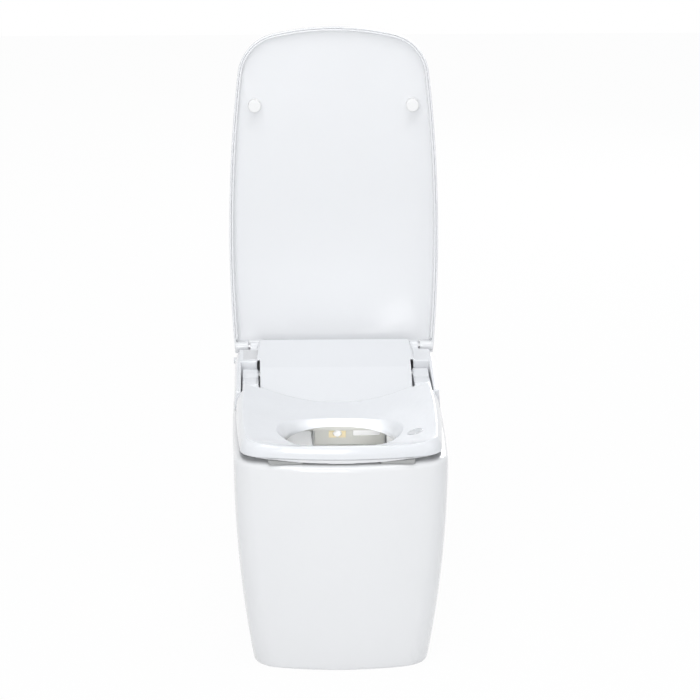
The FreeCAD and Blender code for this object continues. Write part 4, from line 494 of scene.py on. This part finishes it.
# Piece, node, cell of the mesh in mm, smoothing passes, share of the mesh that stays, slot.
MOULDINGS = (
    ("china_body", "ceramic_body", 2.8, 10, 0.30, None),
    ("seat_shell", "seat_top", 1.4, 8, 0.35, None),
    ("seat_pan", "seat_base", 1.6, 5, 0.35, None),
    ("cover_shell", "housing_cover", 1.4, 7, 0.35, None),
    ("lid_outer", "lid_shell", 1.6, 7, 0.35, None),
    ("lid_inner", "lid_lining", 1.4, 5, 0.30, None),
    # The seat's feet take the bumper rubber, whose dark colour is painted shade under the seat.
    ("seat_feet", "seat_bumpers", 0.7, 4, 0.4, None),
    ("lid_pegs", "lid_bumpers", 0.7, 4, 0.4, "inner_plastic"),
)

# Small nodes whose edges are rounded too: node, cell of the mesh in mm, smoothing passes, slot.
SOFTENED = (
    ("equipment_plate", 1.0, 2, None),
    ("flush_tank", 1.5, 4, None),
    ("tank_cap", 0.8, 3, None),
    ("flush_pump", 1.0, 3, None),
    ("inlet_valve", 0.6, 2, None),
    ("inlet_spud", 0.6, 2, None),
    ("floor_brackets", 0.9, 2, None),
    ("cord_gland", 0.4, 2, None),
    ("screw_caps", 0.4, 3, None),
    ("flush_button", 0.35, 3, None),
    ("nozzle_collar", 0.4, 2, None),
    ("nozzle_trough", 1.0, 3, None),
    ("outlet_adapter", 1.2, 3, None),
    ("dryer_flap", 0.4, 2, "inner_plastic"),
    ("nozzle_tip", 0.4, 2, "inner_plastic"),
)
SOFTENED_KEEP = 0.35


def make_mouldings():
    """The large shells, rounded along their edges."""
    for name, node, cell, passes, keep, slot in MOULDINGS:
        moulded(name, node, cell * MM, passes, keep, slot)


# ---------------------------------------------------------------- small parts


def window_bezel():
    """A fine raised frame round the status window."""
    centre, normal, points = lie_of("status_window")
    first = (Vector((1, 0, 0)) - normal * normal.x).normalized()
    second = normal.cross(first)
    away = points - np.array(centre)
    reach = [np.abs(away @ np.array(way)).max() for way in (first, second)]
    face = (away @ np.array(normal)).max()
    inset, corner, wire, sunk = 0.5 * MM, 2.0 * MM, 0.55 * MM, 0.15 * MM
    loop = rounded_loop(centre + normal * (face - sunk), first, second,
                        reach[0] - inset, reach[1] - inset, corner)
    mesh = mesh_of("window_bezel", lambda grid: bead(grid, loop, wire, normal, closed=True))
    smooth(mesh)
    piece_of("window_bezel", mesh, "housing_plastic", BODY_OF["status_window"])


def disc_rim():
    """The turned edge and the shallow ring of the touch disc."""
    centre, normal, points = lie_of("touch_disc")
    away = points - np.array(centre)
    face = (away @ np.array(normal)).max()
    flat = away - np.outer(away @ np.array(normal), np.array(normal))
    radius = np.linalg.norm(flat, axis=1).max()
    first = (Vector((1, 0, 0)) - normal * normal.x).normalized()
    second = normal.cross(first)
    sunk = 0.45  # share of the bead's radius by which its middle lies under the face
    for name, share, wire in (("disc_edge", 0.965, 0.45 * MM), ("disc_ring", 0.72, 0.22 * MM)):
        loop = [centre + normal * (face - wire * sunk)
                + (first * math.cos(turn) + second * math.sin(turn)) * radius * share
                for turn in around(64)]
        mesh = mesh_of(name, lambda grid: bead(grid, loop, wire, normal, 8, closed=True))
        smooth(mesh)
        piece_of(name, mesh, "touch_metal", BODY_OF["touch_disc"])


def islands(node):
    """Boxes of the separate solids of a node, from left to right."""
    grid = bmesh.new()
    grid.from_mesh(NODES[node].data)
    bmesh.ops.remove_doubles(grid, verts=grid.verts, dist=TOUCH)
    left = set(grid.verts)
    boxes = []
    while left:
        heap = [left.pop()]
        low, high = heap[0].co.copy(), heap[0].co.copy()
        while heap:
            corner = heap.pop()
            for axis in range(3):
                low[axis] = min(low[axis], corner.co[axis])
                high[axis] = max(high[axis], corner.co[axis])
            for edge in corner.link_edges:
                other = edge.other_vert(corner)
                if other in left:
                    left.remove(other)
                    heap.append(other)
        boxes.append((low, high))
    grid.free()
    return sorted(boxes, key=lambda box: box[0].x)


def cross_outline(turn, size):
    """How far the edge of a four-winged recess lies from its middle in one direction."""
    wing = size * 0.24  # half the width of a wing
    least = 1e-6  # keeps the divisions away from zero
    aside, upward = max(abs(math.cos(turn)), least), max(abs(math.sin(turn)), least)
    return max(min(size / aside, wing / upward), min(size / upward, wing / aside))


# Screw head: height as a share of the head's, radius as a share of the head's.
HEAD_DOME = ((0.0, 0.86), (0.0, 1.0), (0.35, 1.0), (0.68, 0.9), (0.88, 0.66))
HEAD_RECESS = ((0.95, 0.52), (0.4, 0.3))


def screw_heads(node, axis, names):
    """Domed heads with a cross recess in place of a node's plain ones."""
    axis = Vector(axis)
    side = Vector((0, 0, 1))
    other = axis.cross(side)
    turns = around(48)
    for index, (low, high) in enumerate(islands(node)):
        centre = (low + high) / 2
        span = abs((high - low).dot(axis))
        radius = (high.z - low.z) / 2
        base = centre - axis * span / 2

        def ring(height, reach):
            middle = base + axis * (height * span)
            return [middle + (side * math.cos(turn) + other * math.sin(turn))
                    * (reach(turn) * radius) for turn in turns]

        rings = [ring(height, lambda turn: share) for height, share in HEAD_DOME]
        rings += [ring(height, lambda turn: cross_outline(turn, share))
                  for height, share in HEAD_RECESS]
        mesh = mesh_of(names, lambda grid: lofted(grid, rings))
        smooth(mesh)
        head = piece_of(f"{names}_{index + 1}", mesh, ROWS[node]["material_slot"], BODY_OF[node])
        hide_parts(node)


def hose_ferrules():
    """Crimped sleeves at the two ends of the supply hose."""
    low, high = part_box("supply_hose")
    end = 0.5 * MM  # corners this close to an end belong to it
    corners = np.array([corner.co for corner in NODES["supply_hose"].data.vertices])
    foot_ring = corners[corners[:, 2] < low.z + end]
    foot, top = foot_ring.mean(0), corners[corners[:, 2] > high.z - end].mean(0)
    skin = foot_ring[:, 0].max() - foot[0]
    close, collar, waist = skin + 0.2 * MM, skin + 2.1 * MM, skin + 1.3 * MM
    profile = [(close, 0.0), (skin + 1.9 * MM, 0.0), (collar, 1.0 * MM)]
    for crimp in range(4):
        start = (3.0 + crimp * 4.2) * MM
        profile += [(collar, start), (waist, start + 0.9 * MM), (waist, start + 1.9 * MM),
                    (collar, start + 2.8 * MM)]
    profile += [(skin + 1.8 * MM, 20.0 * MM), (close, 20.8 * MM)]
    below_top = top - np.array((0, 0, 10.0 * MM))
    for name, spot, way in (("hose_sleeve_low", foot, (0, 0, 1)),
                            ("hose_sleeve_high", below_top, (0, 0, -1))):
        mesh = mesh_of(name, lambda grid: turned(grid, profile, Vector(spot), way, 40))
        smooth(mesh)
        piece_of(name, mesh, "motor_steel", BODY_OF["supply_hose"])


def trough_gasket():
    """A rubber lip that closes the joint between the nozzle trough and the china."""
    edge_band, outset, wire, corner = 0.5 * MM, 1.5 * MM, 2.1 * MM, 5 * MM
    under_brow = 18 * MM  # the lip stops this far below the trough's brow
    points = np.array([vertex.co for vertex in NODES["nozzle_trough"].data.vertices])
    foot = points[points[:, 2] < points[:, 2].min() + edge_band]
    brow = points[points[:, 1] < points[:, 1].min() + edge_band]
    left, right = foot[:, 0].min() - outset, foot[:, 0].max() + outset
    low = Vector((0, foot[:, 1].mean(), foot[:, 2].min() - outset))
    high = Vector((0, brow[:, 1].mean(), brow[:, 2].max()))
    climb = (high - low).normalized()
    reach = (high - low).length - under_brow
    sides = []
    for x, inward in ((left, 1), (right, -1)):
        edge = low + Vector((x, 0, 0))
        sides.append([edge + climb * reach, edge + climb * reach * 0.5, edge + climb * corner,
                      edge + climb * corner * 0.3 + Vector((inward * corner * 0.3, 0, 0)),
                      edge + Vector((inward * corner, 0, 0))])
    route = sides[0] + sides[1][::-1]
    across = climb.cross(Vector((1, 0, 0)))
    mesh = mesh_of("trough_gasket", lambda grid: bead(grid, route, wire, across, 12))
    smooth(mesh)
    piece_of("trough_gasket", mesh, "bumper_rubber", BODY_OF["nozzle_trough"])


def make_details():
    """Small parts made here, and small nodes with rounded edges."""
    window_bezel()
    disc_rim()
    screw_heads("cover_screws", (0, 1, 0), "cover_screw")
    hose_ferrules()
    trough_gasket()
    for node, cell, passes, slot in SOFTENED:
        moulded("soft_" + node, node, cell * MM, passes, SOFTENED_KEEP, slot)


# ---------------------------------------------------------------- studio


def seen_plainly(f):
    """1 for rays that show the background itself, in the picture, in gloss and through glass."""
    path = f.tree.nodes.new("ShaderNodeLightPath")
    camera, glossy, through = [Value(f, path.outputs[f"Is {kind} Ray"])
                               for kind in ("Camera", "Glossy", "Transmission")]
    return camera.at_least(glossy).at_least(through)


def lay_floor():
    """A pale floor that keeps the object's shadow."""
    mesh = bpy.data.meshes.new("floor")
    span = 6.0
    mesh.from_pydata([(-span, -span, 0), (span, -span, 0), (span, span, 0), (-span, span, 0)],
                     [], [(0, 1, 2, 3)])
    floor = bpy.data.objects.new("floor", mesh)
    bpy.context.scene.collection.objects.link(floor)
    f = Finish("studio_floor")
    matt = f.node("BsdfDiffuse", None, {"Color": (0.86, 0.86, 0.86)})
    glow = f.node("Emission", None, {"Color": (1.0, 1.0, 1.0), "Strength": 1.0})
    shown = seen_plainly(f) * 0.96
    mesh.materials.append(f.surface(f.node("MixShader", None, {0: shown, 1: matt, 2: glow})))


def light_world():
    """A white backdrop that lights the object less than it shows."""
    world = bpy.data.worlds.new("studio")
    bpy.context.scene.world = world
    f = Finish("studio", world)
    dim = f.node("Background", None, {"Color": (0.95, 0.97, 1.0), "Strength": 0.58})
    bright = f.node("Background", None, {"Color": (1.0, 1.0, 1.0), "Strength": 1.0})
    f.surface(f.node("MixShader", None, {0: seen_plainly(f), 1: dim, 2: bright}), "OutputWorld")


# Lamp, place, point it looks at, side of its square, watts.
LAMPS = (
    ("front_softbox", (-0.6, -4.2, 1.75), (0.0, -0.1, 0.45), 1.7, 49.0),
    ("right_softbox", (2.8, -1.6, 1.6), (0.0, 0.0, 0.5), 1.8, 4.5),
    ("top_softbox", (0.0, -0.7, 3.2), (0.0, 0.0, 0.4), 2.0, 24.0),
    ("rear_softbox", (1.2, 3.9, 1.9), (0.0, 0.1, 0.5), 1.8, 42.0),
    ("key_strip", (-1.3, -2.6, 2.9), (0.0, -0.1, 0.4), 0.45, 8.0),
    ("bowl_fill", (0.02, -0.3, 0.366), (0.02, -0.065, 0.352), 0.08, 0.1),
)


def hang_lamps():
    """Soft lamps round the object, and a small one inside the bowl."""
    for name, spot, aim, size, power in LAMPS:
        lamp = bpy.data.lights.new(name, "AREA")
        lamp.shape = "SQUARE"
        lamp.size = size
        lamp.energy = power
        holder = bpy.data.objects.new(name, lamp)
        holder.location = spot
        holder.rotation_mode = "QUATERNION"
        holder.rotation_quaternion = (Vector(aim) - Vector(spot)).to_track_quat("-Z", "Y")
        holder.visible_camera = False
        bpy.context.scene.collection.objects.link(holder)
        if name == "bowl_fill":
            lamp.spread = math.radians(76)
            holder.visible_glossy = False


def set_camera():
    """A long lens from in front and a little above."""
    lens = bpy.data.cameras.new("camera")
    lens.sensor_width = 36.0
    lens.lens = 181.95
    lens.clip_start, lens.clip_end = 0.1, 100.0
    camera = bpy.data.objects.new("camera", lens)
    distance, rise, swing = 7.0, math.radians(15.73), math.radians(-1.55)
    back = Vector((math.sin(swing) * math.cos(rise), -math.cos(swing) * math.cos(rise),
                   math.sin(rise)))
    aim = Vector((0.0314, 0.225, 0.4515))
    camera.location = aim + back * distance
    camera.rotation_mode = "QUATERNION"
    camera.rotation_quaternion = (-back).to_track_quat("-Z", "Y")
    bpy.context.scene.collection.objects.link(camera)
    bpy.context.scene.camera = camera


bpy.context.scene.view_settings.view_transform = "Standard"
dress_frame()
make_mouldings()
make_details()
lay_floor()
light_world()
hang_lamps()
set_camera()
